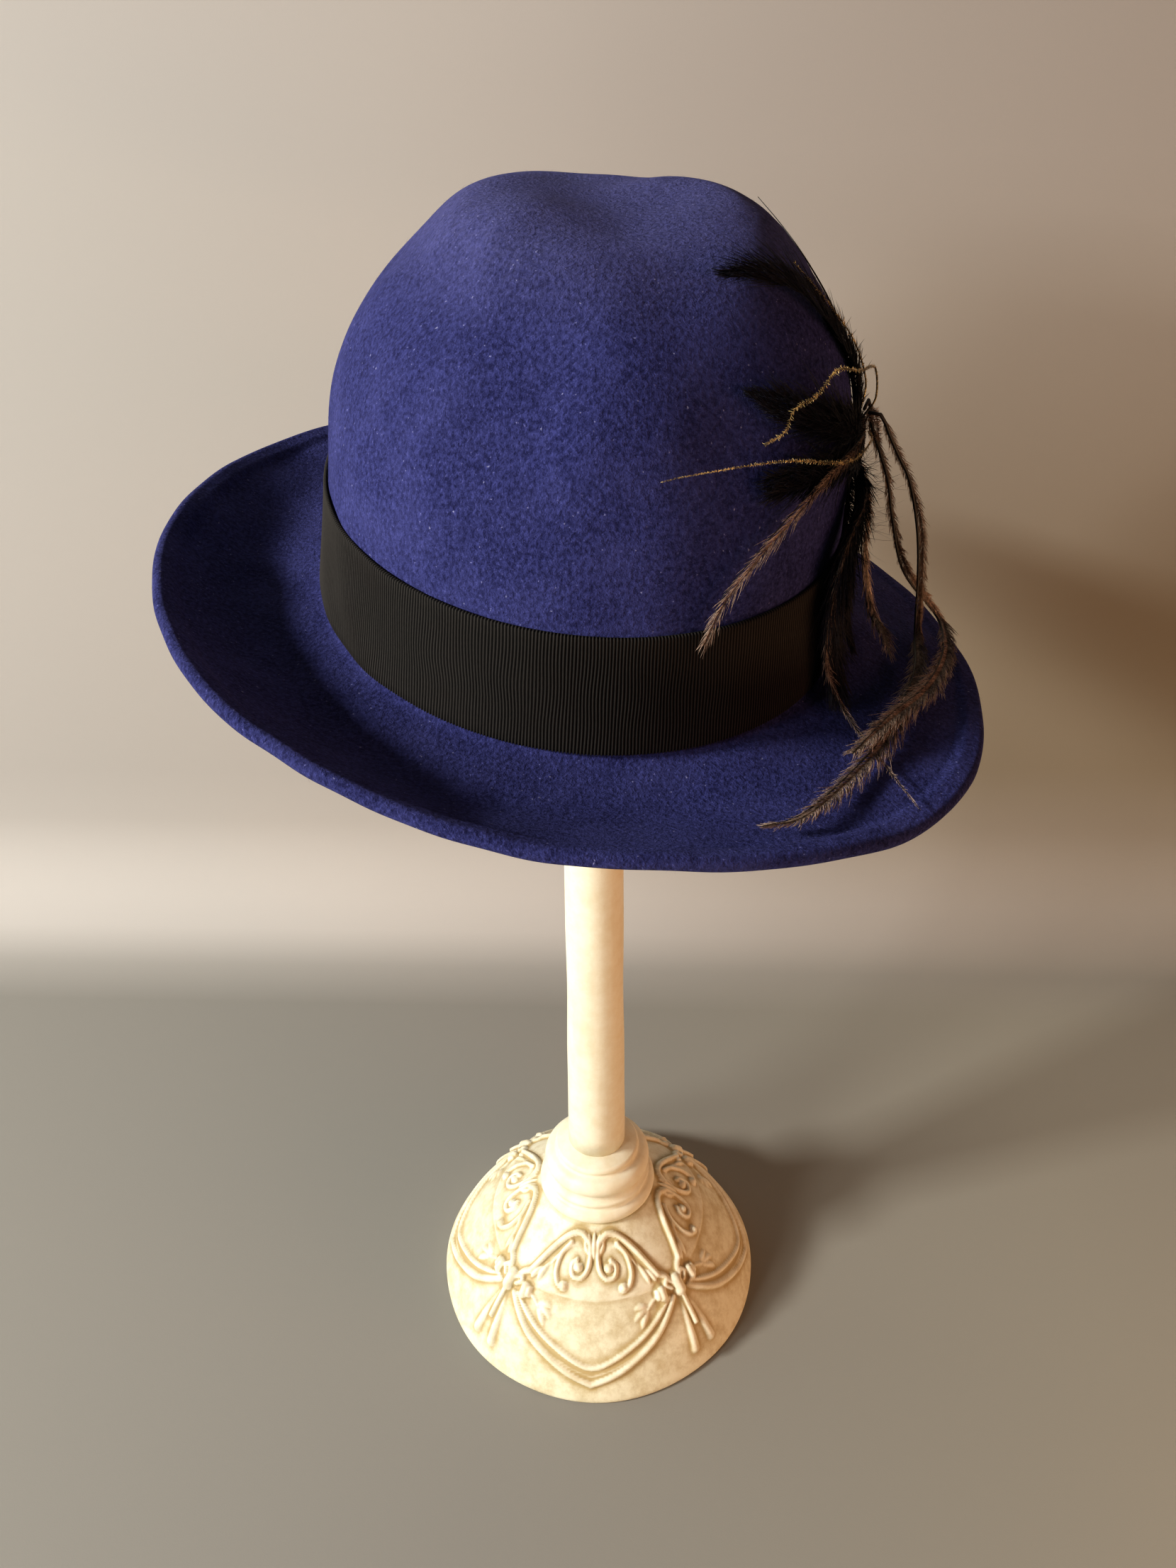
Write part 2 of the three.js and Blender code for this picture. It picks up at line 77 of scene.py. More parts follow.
# %% Mesh makers
def mesh_piece(name, corners, faces, finish, slot, node=None, **numbers):
    """One finished piece: corners in millimetres (..., 3), faces (m, 3 or 4) of corner numbers.
    Each further keyword holds a number for each corner, for the finish to read."""
    corners = np.reshape(corners, (-1, 3)) * MM
    mesh = bpy.data.meshes.new(name)
    mesh.vertices.add(len(corners))
    mesh.vertices.foreach_set("co", corners.ravel())
    mesh.loops.add(faces.size)
    mesh.loops.foreach_set("vertex_index", faces.ravel().astype(np.int32))
    mesh.polygons.add(len(faces))
    starts = np.arange(len(faces), dtype=np.int32) * faces.shape[1]
    mesh.polygons.foreach_set("loop_start", starts)
    mesh.update(calc_edges=True)
    mesh.polygons.foreach_set("use_smooth", np.ones(len(faces), bool))
    mesh.materials.append(finish)
    for number, values in numbers.items():
        layer = mesh.attributes.new(number, "FLOAT", "POINT")
        layer.data.foreach_set("value", np.asarray(values, dtype=np.float32).ravel())
    piece = bpy.data.objects.new(name, mesh)
    bpy.context.collection.objects.link(piece)
    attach(piece, "root")
    if node:
        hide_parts(node)
    print(f"{name}: {len(faces)} faces")


def grid_faces(grid, round_rows=False, round_columns=True):
    """Corner numbers of the faces of a grid (rows, columns, 3) whose rows follow outward."""
    rows, columns = grid.shape[:2]
    down = np.arange(rows if round_rows else rows - 1)[:, None]
    across = np.arange(columns if round_columns else columns - 1)
    below, beside = (down + 1) % rows, (across + 1) % columns
    corners = [down * columns + across, down * columns + beside,
               below * columns + beside, below * columns + across]
    return np.stack(np.broadcast_arrays(*corners), axis=-1).reshape(-1, 4)


# %% [markdown]
# ## Shader arithmetic
# A finish is mostly sums on values that change over the surface. One small class wraps a socket
# so that Python's own operators add the Math nodes, and a Finish adds any other node.

# %% Shader helpers
class Value:
    """A socket whose arithmetic adds Math nodes."""

    def __init__(self, finish, socket):
        self.finish, self.socket = finish, socket

    def math(self, operation, other):
        return self.finish.add("ShaderNodeMath", {"operation": operation}, {0: self, 1: other})

    def __add__(self, other):
        return self.math("ADD", other)

    def __mul__(self, other):
        return self.math("MULTIPLY", other)


class Finish:
    """A material with one Principled shader, and a way to add the nodes behind it."""

    def __init__(self, name, **constants):
        self.material = bpy.data.materials.new(name)
        self.material.use_nodes = True
        self.nodes = self.material.node_tree.nodes
        self.links = self.material.node_tree.links
        self.shader = self.nodes["Principled BSDF"]
        for socket, value in constants.items():
            self.shader.inputs[socket.replace("_", " ")].default_value = value

    def add(self, kind, settings=None, values=None, output=0):
        """A node of this kind: its settings first, then a value or a link for its sockets."""
        node = self.nodes.new(kind)
        for setting, value in (settings or {}).items():
            setattr(node, setting, value)
        for socket, value in (values or {}).items():
            self.join(node.inputs[socket], value)
        return Value(self, node.outputs[output])

    def join(self, socket, value):
        """Link a Value to a socket, or set a plain number or colour on it."""
        if isinstance(value, Value):
            self.links.new(value.socket, socket)
        else:
            socket.default_value = value

    def drive(self, socket, value):
        self.join(self.shader.inputs[socket], value)

    def place(self):
        return self.add("ShaderNodeTexCoord", output="Object")

    def along(self, axis):
        """How far the point is along X, Y or Z, in metres."""
        return self.add("ShaderNodeSeparateXYZ", {}, {"Vector": self.place()}, output=axis)

    def noise(self, period, detail=3.0, rough=0.5, stretch=None):
        """Noise between about 0 and 1, with lumps of the given size in millimetres."""
        place = self.place()
        if stretch:
            place = self.add("ShaderNodeVectorMath", {"operation": "MULTIPLY"},
                             {0: place, 1: stretch})
        values = {"Vector": place, "Scale": 1 / (period * MM), "Detail": detail,
                  "Roughness": rough}
        return self.add("ShaderNodeTexNoise", {}, values, output="Fac")

    def spread(self, value, low, high, to_low=0.0, to_high=1.0):
        """The part of a value between low and high, stretched to another range and clamped."""
        values = {"Value": value, "From Min": low, "From Max": high,
                  "To Min": to_low, "To Max": to_high}
        return self.add("ShaderNodeMapRange", {"clamp": True}, values, output="Result")

    def blend(self, share, first, second):
        """A colour between two others."""
        FACTOR, FIRST_COLOUR, SECOND_COLOUR, COLOUR_OUT = 0, 6, 7, 2
        colours = [c if isinstance(c, Value) else (*c, 1) for c in (first, second)]
        values = {FACTOR: share, FIRST_COLOUR: colours[0], SECOND_COLOUR: colours[1]}
        return self.add("ShaderNodeMix", {"data_type": "RGBA"}, values, output=COLOUR_OUT)

    def bump(self, height, deep, strength=1.0):
        """Fine relief, its depth in millimetres."""
        values = {"Height": height, "Distance": deep * MM, "Strength": strength}
        self.drive("Normal", self.add("ShaderNodeBump", {}, values, output="Normal"))

    def read(self, attribute):
        return self.add("ShaderNodeAttribute", {"attribute_name": attribute}, output="Fac")

# %% [markdown]
# ## The camera, the floor and the light
# The hat is seen from a little above, in front of a sheet of pale paper that curves up behind it.
# The sheet is clear from behind, so that it never hides the hat. Two lamps on the left stand for
# the panes of a window and give most of the light. A wide faint one hangs above, two warm ones on
# the right stand for the room and a table lamp, and a faint one low in front fills the shadows.
# The camera comes first, so that every later look can use it.

# %% Camera
FOCAL_IN_FRAME_HEIGHTS = 0.774
SENSOR_MM = 36

camera_data = bpy.data.cameras.new("camera")
camera_data.sensor_width = SENSOR_MM
camera_data.sensor_fit = "AUTO"
camera_data.lens = SENSOR_MM * FOCAL_IN_FRAME_HEIGHTS
camera_data.clip_start = 0.01
camera = bpy.data.objects.new("camera", camera_data)
bpy.context.collection.objects.link(camera)
camera.location = (-0.0125, -0.3911, 0.5489)
CAMERA_TURN, CAMERA_DOWN, CAMERA_ROLL = np.radians([-1.55, 33.27, 0.78])


def camera_axes():
    """Right, up and back: turned to the left, tipped down, then rolled clockwise."""
    flat = np.array([-np.sin(CAMERA_TURN), np.cos(CAMERA_TURN), 0])
    ahead = flat * np.cos(CAMERA_DOWN) - np.array([0, 0, np.sin(CAMERA_DOWN)])
    right = np.cross(flat, (0, 0, 1))
    above = np.cross(right, ahead)
    rolled_right = np.cos(CAMERA_ROLL) * right - np.sin(CAMERA_ROLL) * above
    return np.stack([rolled_right, np.cross(rolled_right, ahead), -ahead], axis=1)


camera.rotation_euler = Matrix(camera_axes()).to_euler()
bpy.context.scene.camera = camera
print("the camera looks down by", np.degrees(CAMERA_DOWN), "degrees")

# %% Paper finish
# tones of the floor, painted light on its right side, painted light on the bend, the wall, painted
# shade on its far right and a painted shadow of the hat on its low right
FLOOR_TONE, PAINTED_FLOOR_LIGHT = (0.24, 0.236, 0.216), (0.29, 0.282, 0.24)
PAINTED_BEND_LIGHT_TONE, WALL_TONE = (0.50, 0.485, 0.46), (0.365, 0.352, 0.333)
PAINTED_SHADE_TONE, PAINTED_HAT_SHADOW_TONE = (0.13, 0.118, 0.082), (0.19, 0.165, 0.112)

paper = Finish("paper", Roughness=0.9)
side, depth, height = (paper.along(axis) for axis in "XYZ")
unevenness = paper.noise(400)
# painted shade: darker toward the wall's right, most of all low down, where the window's light
# falls off
painted_shade_share = paper.spread(side + unevenness * 0.2, 0.05, 0.8) * paper.spread(height, 0, 0.45, 1, 0.5)
wall_tone = paper.blend(painted_shade_share, WALL_TONE, PAINTED_SHADE_TONE)
# painted shadow of the hat: a soft dark patch low on the wall, right of the hat
painted_hat_shadow = paper.spread(side + unevenness * 0.1, 0, 0.22) * paper.spread(height, 0.02, 0.12)
painted_hat_shadow = painted_hat_shadow * paper.spread(height, 0.2, 0.48, 1, 0)
wall_tone = paper.blend(painted_hat_shadow * 0.75, wall_tone, PAINTED_HAT_SHADOW_TONE)
# painted light: a lighter band low along the bend, brightest toward the left
painted_bend_glow = paper.spread(height, 0.11, 0.02, 0, 0.48) * paper.spread(side, -0.2, 0.3, 1, 0.2)
wall_tone = paper.blend(painted_bend_glow, wall_tone, PAINTED_BEND_LIGHT_TONE)
# painted light: the floor grows lighter toward its right side, across the stand's shadow
floor_tone = paper.blend(paper.spread(side, -0.05, 0.25), FLOOR_TONE, PAINTED_FLOOR_LIGHT)
to_wall = paper.spread(depth, 0.182, 0.248)
paper.drive("Base Color", paper.blend(to_wall, floor_tone, wall_tone))
paper.bump(paper.noise(0.8), 0.03)

behind = paper.add("ShaderNodeNewGeometry", output="Backfacing")
clear = paper.add("ShaderNodeBsdfTransparent", output="BSDF")
lit = Value(paper, paper.shader.outputs["BSDF"])
one_sided = paper.add("ShaderNodeMixShader", {}, {0: behind, 1: lit, 2: clear}, output="Shader")
paper.join(paper.nodes["Material Output"].inputs["Surface"], one_sided)

# %% Floor and backdrop in one curved sheet
FLOOR_FRONT, BEND_START, BEND_RADIUS, WALL_TOP, HALF_WIDE = -5000, 218, 70, 2200, 2600
SHEET_TURN = np.radians(-4.2)


def sweep_profile():
    """Depth and height along the sheet: flat, then a quarter circle, then straight up."""
    turn = np.radians(np.linspace(0, 90, 19))
    bend_y = BEND_START + BEND_RADIUS * np.sin(turn)
    bend_z = BEND_RADIUS * (1 - np.cos(turn))
    return zip([FLOOR_FRONT, *bend_y, bend_y[-1]], [0, *bend_z, WALL_TOP])


sheet_grid = np.array([[[x, y, z] for x in (-HALF_WIDE, HALF_WIDE)] for y, z in sweep_profile()])
sheet_faces = grid_faces(sheet_grid, round_columns=False)
sheet_mesh = bpy.data.meshes.new("backdrop")
sheet_mesh.from_pydata((sheet_grid.reshape(-1, 3) * MM).tolist(), [], sheet_faces.tolist())
sheet_mesh.shade_smooth()
sheet_mesh.materials.append(paper.material)
backdrop = bpy.data.objects.new("backdrop", sheet_mesh)
backdrop.rotation_euler.z = SHEET_TURN
bpy.context.collection.objects.link(backdrop)
print("the floor curves up", BEND_START, "mm behind the stand")

# %% Lamps
HAT_MIDDLE = np.array([0, 0, 0.4])


def lamp(name, towards, away, size, power, colour):
    """A flat lamp on a line out from the hat, facing it: metres, watts and a colour."""
    light = bpy.data.lights.new(name, "AREA")
    light.shape = "RECTANGLE"
    light.size, light.size_y = size
    light.energy, light.color = power, colour
    made = bpy.data.objects.new(name, light)
    bpy.context.collection.objects.link(made)
    x, y, z = direction = np.array(towards) / np.linalg.norm(towards)
    made.location = HAT_MIDDLE + direction * away
    made.rotation_euler = (np.arctan2(np.hypot(x, y), z), 0, np.arctan2(x, -y))


lamp("window", (-0.88, -0.30, 0.385), 1.7, (0.36, 0.16), 35.5, (1.0, 0.96, 0.9))
lamp("second pane", (-0.74, -0.62, 0.26), 1.7, (0.4, 0.25), 11.5, (1.0, 0.96, 0.9))
lamp("ceiling", (-0.2, -0.1, 1.0), 1.9, (1.6, 1.0), 0.9, (1.0, 0.95, 0.9))
lamp("room", (0.85, -0.5, 0.0), 1.3, (1.0, 0.3), 5.0, (1.0, 0.47, 0.28))
lamp("table lamp", (0.8, -0.5, -0.48), 0.72, (0.3, 0.12), 1.1, (1.0, 0.62, 0.32))
lamp("front fill", (-0.6, -0.75, -0.38), 0.9, (0.6, 0.12), 1.3, (1.0, 0.9, 0.75))
world = bpy.data.worlds.new("room")
world.use_nodes = True
room_glow = world.node_tree.nodes["Background"].inputs
room_glow["Color"].default_value = (1.0, 0.86, 0.72, 1)
room_glow["Strength"].default_value = 0.045
bpy.context.scene.world = world
bpy.context.scene.view_settings.view_transform = "Standard"
bpy.context.scene.view_settings.look = "Medium High Contrast"
print(len(bpy.data.lights), "lamps")

# %% [markdown]
# ## The shape of the hat
# A hatter pulls a wet felt hood over a wooden block, ties a cord where the crown meets the brim,
# and presses the brim over a curved flange. So the form is two surfaces that meet at the cord.
# A place on the felt is given by its bearing round the hat and its run: from 0 at the head
# opening up to 1 at the tip of the crown, and down to -1 at the edge of the brim. The tables hold
# a few measured rows, and a smooth curve passes through them.

# %% Tables of the hat
HAT_PLACE = np.array([-5, 0, 379])
HAT_TURN, LEAN_FORWARD, LEAN_RIGHT = np.radians([14, 6.2, 2.5])
FELT_THICK, BREAK_RADIUS, WELT_WIDE, WELT_RISE = 2.5, 3.5, 9.5, 1.0

# height, half widths to the left, right, front and back
CROWN = np.array([
    (1.5, 85.2, 85.2, 102.1, 102.1),
    (35, 80.7, 82.4, 98.5, 99),
    (58, 78.1, 81.8, 94.5, 96),
    (77.5, 71.6, 79, 89, 91),
    (93, 62.1, 73, 81, 84),
    (105.6, 50, 64.7, 70, 74),
    (114.3, 41.5, 56.4, 58, 62),
    (120.2, 33, 48.5, 43, 47),
    (123.5, 20, 36, 25, 28),
    (124.5, 0, 0, 0, 0),
])
# width, mean slope and extra curl of the brim every 30 degrees from the right side by the back
BRIM = np.array([
    (54.5, -26.6, 6), (54.5, -26.8, 8), (54.5, -13, 10), (54.5, -2.1, 12),
    (54.5, 4.6, 14), (54.5, 12.9, 18), (54.5, 18.7, 22), (55, 20.7, 22),
    (54.5, 17.1, 18), (54, 10.4, 12), (54, -6.3, 7), (52, -18.5, 5),
])
# from, to, depth, spread of each soft dent
DENTS = [
    ((-43, -66, 85), (-31, -58, 103), 3.5, 13),
    ((14, -80, 84), (6, -62, 108), 2.5, 12),
    ((8, -20, 124), (10, 35, 124), 6, 17),
    ((-52, -15, 108), (-52, 30, 108), 2, 14),
]
print("crown", CROWN[-1, 0], "mm high, brim", BRIM[0, 0], "mm wide")


# %% Smooth steps through a table
def rows_at(table, place, goes_round):
    """A uniform Catmull-Rom curve through the rows, at places counted in rows."""
    last = len(table) - 1
    if goes_round:
        padded = np.vstack([table[-1:], table, table[:2]])
        first = np.floor(place).astype(int) % len(table)
    else:
        padded = np.vstack([2 * table[0] - table[1], table, 2 * table[-1] - table[-2]])
        first = np.clip(np.floor(place).astype(int), 0, last - 1)
    f = np.asarray(place - np.where(goes_round, np.floor(place), first))[..., None]
    a, b, c, d = (padded[first + i] for i in range(4))
    return b + 0.5 * f * (c - a + f * (2 * a - 5 * b + 4 * c - d + f * (3 * (b - c) + d - a)))


def smooth_step(value, low, high):
    share = np.clip((value - low) / (high - low), 0, 1)
    return share * share * (3 - 2 * share)


def unit(vectors):
    """Each vector divided by its own length."""
    return vectors / np.maximum(np.linalg.norm(vectors, axis=-1, keepdims=True), 1e-9)


# %% Crown and brim
def crown_points(bearing, run):
    """Each row is four quarter ellipses: cosine times the side, sine times the front or back."""
    rows = rows_at(CROWN, run * (len(CROWN) - 1), False)
    height, left, right, front, back = np.moveaxis(rows, -1, 0)
    across, along = np.cos(bearing), np.sin(bearing)
    side = np.where(across > 0, right, left)
    end = np.where(along > 0, back, front)
    return np.stack([across * side, along * end, height], axis=-1)


def brim_points(bearing, run):
    """The slope is followed outward in small steps: down the crown, round the bend and along
    the brim. The curl turns the slope from too low near the bend to too high at the edge."""
    STEPS, CURL_BELOW, CURL_STARTS, CURL_ENDS = 60, 1.25, 0.1, 0.65
    rows = rows_at(BRIM, (bearing / (2 * np.pi) % 1) * len(BRIM), True)
    wide, lift, curl = np.moveaxis(rows, -1, 0)[..., None]
    bend = BREAK_RADIUS * np.radians(90 + lift - CURL_BELOW * curl)
    whole = wide + bend
    gone = (np.arange(STEPS) + 0.5) / STEPS * whole
    share = smooth_step((gone - bend) / wide, CURL_STARTS, CURL_ENDS)
    on_brim = np.radians(lift + curl * (2 * share - CURL_BELOW))
    slope = np.where(gone < bend, -np.pi / 2 + gone / BREAK_RADIUS, on_brim)
    part = np.clip(-run[..., None] * STEPS - np.arange(STEPS), 0, 1) * whole / STEPS
    out, up = (np.cos(slope) * part).sum(-1), (np.sin(slope) * part).sum(-1)
    point = crown_points(bearing, np.zeros_like(bearing))
    outward = np.stack([np.cos(bearing) / CROWN[0, 1], np.sin(bearing) / CROWN[0, 3]], axis=-1)
    point[..., :2] += unit(outward) * out[..., None]
    point[..., 2] += up
    return point


def smooth_felt(bearing, run):
    """Crown above the head opening, brim beyond it."""
    point = crown_points(bearing, np.maximum(run, 0))
    brim = run < 0
    if brim.any():
        point[brim] = brim_points(bearing[brim], run[brim])
    return point


def facing(surface, bearing, run):
    """The outward direction: across the small steps round the hat and up it."""
    STEP, NEAR_TIP = 0.002, 0.995
    low, high = np.maximum(run - STEP, -1), np.minimum(run + STEP, NEAR_TIP)
    round_hat = surface(bearing + STEP, run) - surface(bearing - STEP, run)
    return unit(np.cross(round_hat, surface(bearing, high) - surface(bearing, low)))


def felt_points(bearing, run):
    """The smooth form pushed in along its dents, each fading off like a bell curve."""
    point = smooth_felt(bearing, run)
    depth = np.zeros(point.shape[:-1])
    for start, end, deep, spread in DENTS:
        start, line = np.array(start), np.subtract(end, start)
        share = np.clip((point - start) @ line / (line @ line), 0, 1)[..., None]
        away = ((point - start - share * line) ** 2).sum(-1)
        depth += deep * np.exp(-away / (2 * spread ** 2))
    return point - facing(smooth_felt, bearing, run) * depth[..., None]


# %% Standing off the felt, and into the room
def hat_rotation():
    """Turn about the upright, then lean forward, then lean to the right."""
    (c, s), (a, b), (e, f) = ((np.cos(t), np.sin(t)) for t in (HAT_TURN, LEAN_FORWARD, LEAN_RIGHT))
    turn = np.array([[c, -s, 0], [s, c, 0], [0, 0, 1]])
    forward = np.array([[1, 0, 0], [0, a, -b], [0, b, a]])
    right = np.array([[e, 0, f], [0, 1, 0], [-f, 0, e]])
    return right @ forward @ turn


HAT_ROTATION = hat_rotation()


def in_room(points):
    """From the hat's own frame to the room's: turned, then moved into place."""
    return (np.reshape(points, (-1, 3)) @ HAT_ROTATION.T + HAT_PLACE).reshape(np.shape(points))


def stand_off(bearing, run, off):
    """Points off the felt, in the hat's frame, and the way that the felt faces there."""
    bearing, run = np.broadcast_arrays(np.asarray(bearing, float), np.asarray(run, float))
    outward = facing(felt_points, bearing, run)
    return felt_points(bearing, run) + outward * np.asarray(off)[..., None], outward


sample = in_room(stand_off(np.radians([0, 90, 180, 270]), np.full(4, -1.0), np.zeros(4))[0])
print("the brim's edge, right, back, left and front:", sample.round(1).tolist())

# %% [markdown]
# ## The felt
# Wool felt is a thick mat of matted hair. Up close it is not one blue: pale and dark hairs lie
# across each other, the surface is slightly pilled, and a soft fuzz catches the light at every
# edge. The wall is one skin that goes down the inside, under the brim, round the turned edge and
# back up the outside. The finish mixes noises of several sizes, and a sheen gives the fuzz's glow.

# %% Felt finish
NAVY_DEEP, NAVY, NAVY_PALE = (0.016, 0.018, 0.080), (0.053, 0.060, 0.213), (0.12, 0.13, 0.38)
DUST_AND_PAINTED_SHEEN, LINT = (0.165, 0.165, 0.34), (0.35, 0.36, 0.5)
felt = Finish("navy_wool_felt", Roughness=0.95, Diffuse_Roughness=0.6, Sheen_Weight=0.05,
              Sheen_Roughness=0.45, Sheen_Tint=(0.36, 0.36, 0.8, 1), Specular_IOR_Level=0.15)
hairs = felt.noise(0.4, detail=4, rough=0.7)
curls = felt.noise(1.9, detail=4, rough=0.75)
clumps = felt.noise(4.5, detail=3, rough=0.6)
patches = felt.noise(19, detail=3)
pills = felt.noise(1.25, detail=2, rough=0.55)
grain = felt.spread(curls * 0.3 + pills * 0.4 + hairs * 0.3, 0.42, 0.6)
wool = felt.blend(grain, NAVY_DEEP, NAVY)
curl_tops = felt.spread(felt.noise(0.9, detail=2, rough=0.6), 0.6, 0.74)
wool = felt.blend(curl_tops * 0.5 + felt.spread(patches, 0.4, 0.7, 0, 0.16), wool, NAVY_PALE)
# near the crown's top the felt is paler: partly dust, partly a painted sheen
dust_and_painted_sheen = felt.spread(felt.along("Z"), 0.474, 0.499) * felt.spread(curls, 0.3, 0.7, 0.1, 0.45)
wool = felt.blend(dust_and_painted_sheen, wool, DUST_AND_PAINTED_SHEEN)
lint = felt.spread(felt.noise(0.9, detail=1, rough=0.2), 0.80, 0.81)
felt.drive("Base Color", felt.blend(lint * 0.6, wool, LINT))
felt.bump(hairs * 0.2 + pills * 0.5 + curls * 0.2 + clumps * 0.1, 2.0, 0.9)

# %% Felt wall
FELT_COLUMNS = 360
bearings = np.arange(FELT_COLUMNS) / FELT_COLUMNS * 2 * np.pi
BRIM_SPAN = BRIM[0, 0] + BREAK_RADIUS
EDGE_ROUND = FELT_THICK / 2 + WELT_RISE
LUMP_LENGTHS, LUMP_RISE, LUMPS_SEED = (70, 52, 44, 33, 27, 21, 17), 0.28, 5
THUMB_DENT_AT = np.radians([240.0]), np.array([0.38])
THUMB_DEEP, THUMB_WIDE, THUMB_TALL = 0.9, 7.5, 17
GROOVE_DEEP, GROOVE_WIDE = 0.06, 0.5


def hand_blocked(bearing, run):
    """Low, wide lumps that steaming by hand leaves: waves across the hat in many directions."""
    chance = np.random.default_rng(LUMPS_SEED)
    point, lump = smooth_felt(bearing, run), 0
    for length in LUMP_LENGTHS:
        direction = chance.normal(size=3)
        direction *= 2 * np.pi / length / np.linalg.norm(direction)
        wave = np.sin(point @ direction + chance.uniform(0, 6))
        lump = lump + length / LUMP_LENGTHS[0] * wave
    return LUMP_RISE * lump * smooth_step(np.abs(run), 0.0, 0.15) - thumb_dent(point)


def thumb_dent(point):
    """A shallow upright hollow low on the crown's front: a bell curve, wide across and tall."""
    from_middle = point - smooth_felt(*THUMB_DENT_AT)
    across, up = np.hypot(from_middle[..., 0], from_middle[..., 1]), from_middle[..., 2]
    return THUMB_DEEP * np.exp(-(across / THUMB_WIDE) ** 2 - (up / THUMB_TALL) ** 2)


def welt_rise(run):
    """The turned edge stands a little above the single felt, past a shallow groove."""
    from_edge = (run + 1) * BRIM_SPAN
    rise = WELT_RISE * (1 - smooth_step(from_edge, WELT_WIDE - 4, WELT_WIDE))
    return rise - GROOVE_DEEP * np.exp(-((from_edge - WELT_WIDE - 0.3) / GROOVE_WIDE) ** 2)


def felt_runs():
    """Runs from the tip to the edge, close together at the bend and at the welt."""
    crown = np.r_[np.linspace(0.985, 0.04, 92), np.linspace(0.03, 0, 5)]
    brim = np.r_[np.linspace(-0.008, -0.11, 12), np.linspace(-0.125, -0.8, 44)]
    welt = -1 + np.linspace(WELT_WIDE + 1.2, EDGE_ROUND, 16) / BRIM_SPAN
    return np.r_[crown, brim, welt]


def felt_side(runs, side):
    """One side of the wall: the outer form moved along its normal, side 1 outside, 0 inside."""
    bearing, run = np.meshgrid(bearings, runs)
    off = hand_blocked(bearing, run) + (welt_rise(run) if side else -FELT_THICK - welt_rise(run))
    return stand_off(bearing, run, off)[0]


def felt_edge(turns):
    """The rounded fold at the brim's edge: half a circle swept round the hat."""
    run = np.full(FELT_COLUMNS, -1 + EDGE_ROUND / BRIM_SPAN)
    off = hand_blocked(bearings, run) - FELT_THICK / 2
    middle, outward = stand_off(bearings, run, off)
    away = unit(stand_off(bearings, run - 0.01, off)[0] - middle)
    across, up = np.cos(turns)[:, None, None], np.sin(turns)[:, None, None]
    return middle + EDGE_ROUND * (across * away + up * outward)


runs = felt_runs()
outside, inside = felt_side(runs, 1), felt_side(runs[::3], 0)
edge = felt_edge(np.radians(np.linspace(-75, 75, 11)))
tips = [np.broadcast_to(side[0].mean(axis=0), side[:1].shape) for side in (inside, outside)]
felt_grid = np.concatenate([tips[0], inside, edge, outside[::-1], tips[1]])
mesh_piece("felt_hat", in_room(felt_grid), grid_faces(felt_grid), felt.material,
           "felt", "felt_body")

# %% [markdown]
# Loose hairs stand up from the felt everywhere, and show against the light at its edges. Each is a
# very thin three-sided spike with one bend. They are scattered evenly by area with a fixed seed.

# %% Felt fuzz
FUZZ_COUNT, FUZZ_LONGEST, FUZZ_WIDE, FUZZ_SEED = 8200, 1.3, 0.045, 3


def spikes(path, wide):
    """Thin closed hairs: a triangle at each step of a path (hairs, steps, 3), and a point at
    its end."""
    hairs_count, steps = path.shape[:2]
    along = np.gradient(path, axis=1)
    aside = unit(np.cross(along, np.roll(along, 1, axis=-1) + (0.3, 0.1, 0.7)))
    over = unit(np.cross(along, aside))
    taper = wide * np.linspace(1, 0.35, steps) / 2
    turns = np.radians([90, 210, 330])[:, None]
    ring = np.cos(turns) * aside[:, :, None] + np.sin(turns) * over[:, :, None]
    body = path[:, :, None] + ring * taper[:, None, None]
    tip = path[:, -1] + (path[:, -1] - path[:, -2]) * 0.5
    corners = np.concatenate([body.reshape(hairs_count, -1, 3), tip[:, None]], axis=1)
    step, corner = np.indices((steps - 1, 3)).reshape(2, -1)
    here, beside = step * 3 + corner, step * 3 + (corner + 1) % 3
    sides = np.concatenate([np.stack([here, beside, beside + 3], 1),
                            np.stack([here, beside + 3, here + 3], 1)])
    last, point = steps * 3 - 3, steps * 3
    ends = [(last + i, last + (i + 1) % 3, point) for i in range(3)] + [(2, 1, 0)]
    faces = np.concatenate([sides, ends]) + np.arange(hairs_count)[:, None, None] * (point + 1)
    return corners.reshape(-1, 3), faces.reshape(-1, 3)


def felt_hairs(count, longest, seed):
    """Hairs at random places of the outside and the edge, leaning every way, curling a little."""
    chance = np.random.default_rng(seed)
    grid = felt_grid[len(inside) + 2:-2]
    right, up = np.roll(grid, -1, axis=1) - grid, np.gradient(grid, axis=0)
    normal = np.cross(right, up)
    area = np.linalg.norm(normal, axis=-1)
    rows, columns = np.unravel_index(
        chance.choice(area.size, count, p=(area / area.sum()).ravel()), area.shape)
    outward = normal[rows, columns] / area[rows, columns][:, None]
    root = grid[rows, columns] + right[rows, columns] * chance.random((count, 1))
    lean = chance.normal(size=(count, 3))
    lean = unit(lean - outward * (lean * outward).sum(-1, keepdims=True))
    length = longest * (0.25 + 0.75 * chance.random(count) ** 3)[:, None]
    rise = chance.uniform(0.1, 0.75, (count, 1))
    steps = [root - 0.1 * outward,
             root + length * 0.5 * (lean * 0.9 + outward * rise),
             root + length * (lean * 1.5 + outward * rise * 0.9)]
    return np.stack(steps, axis=1)


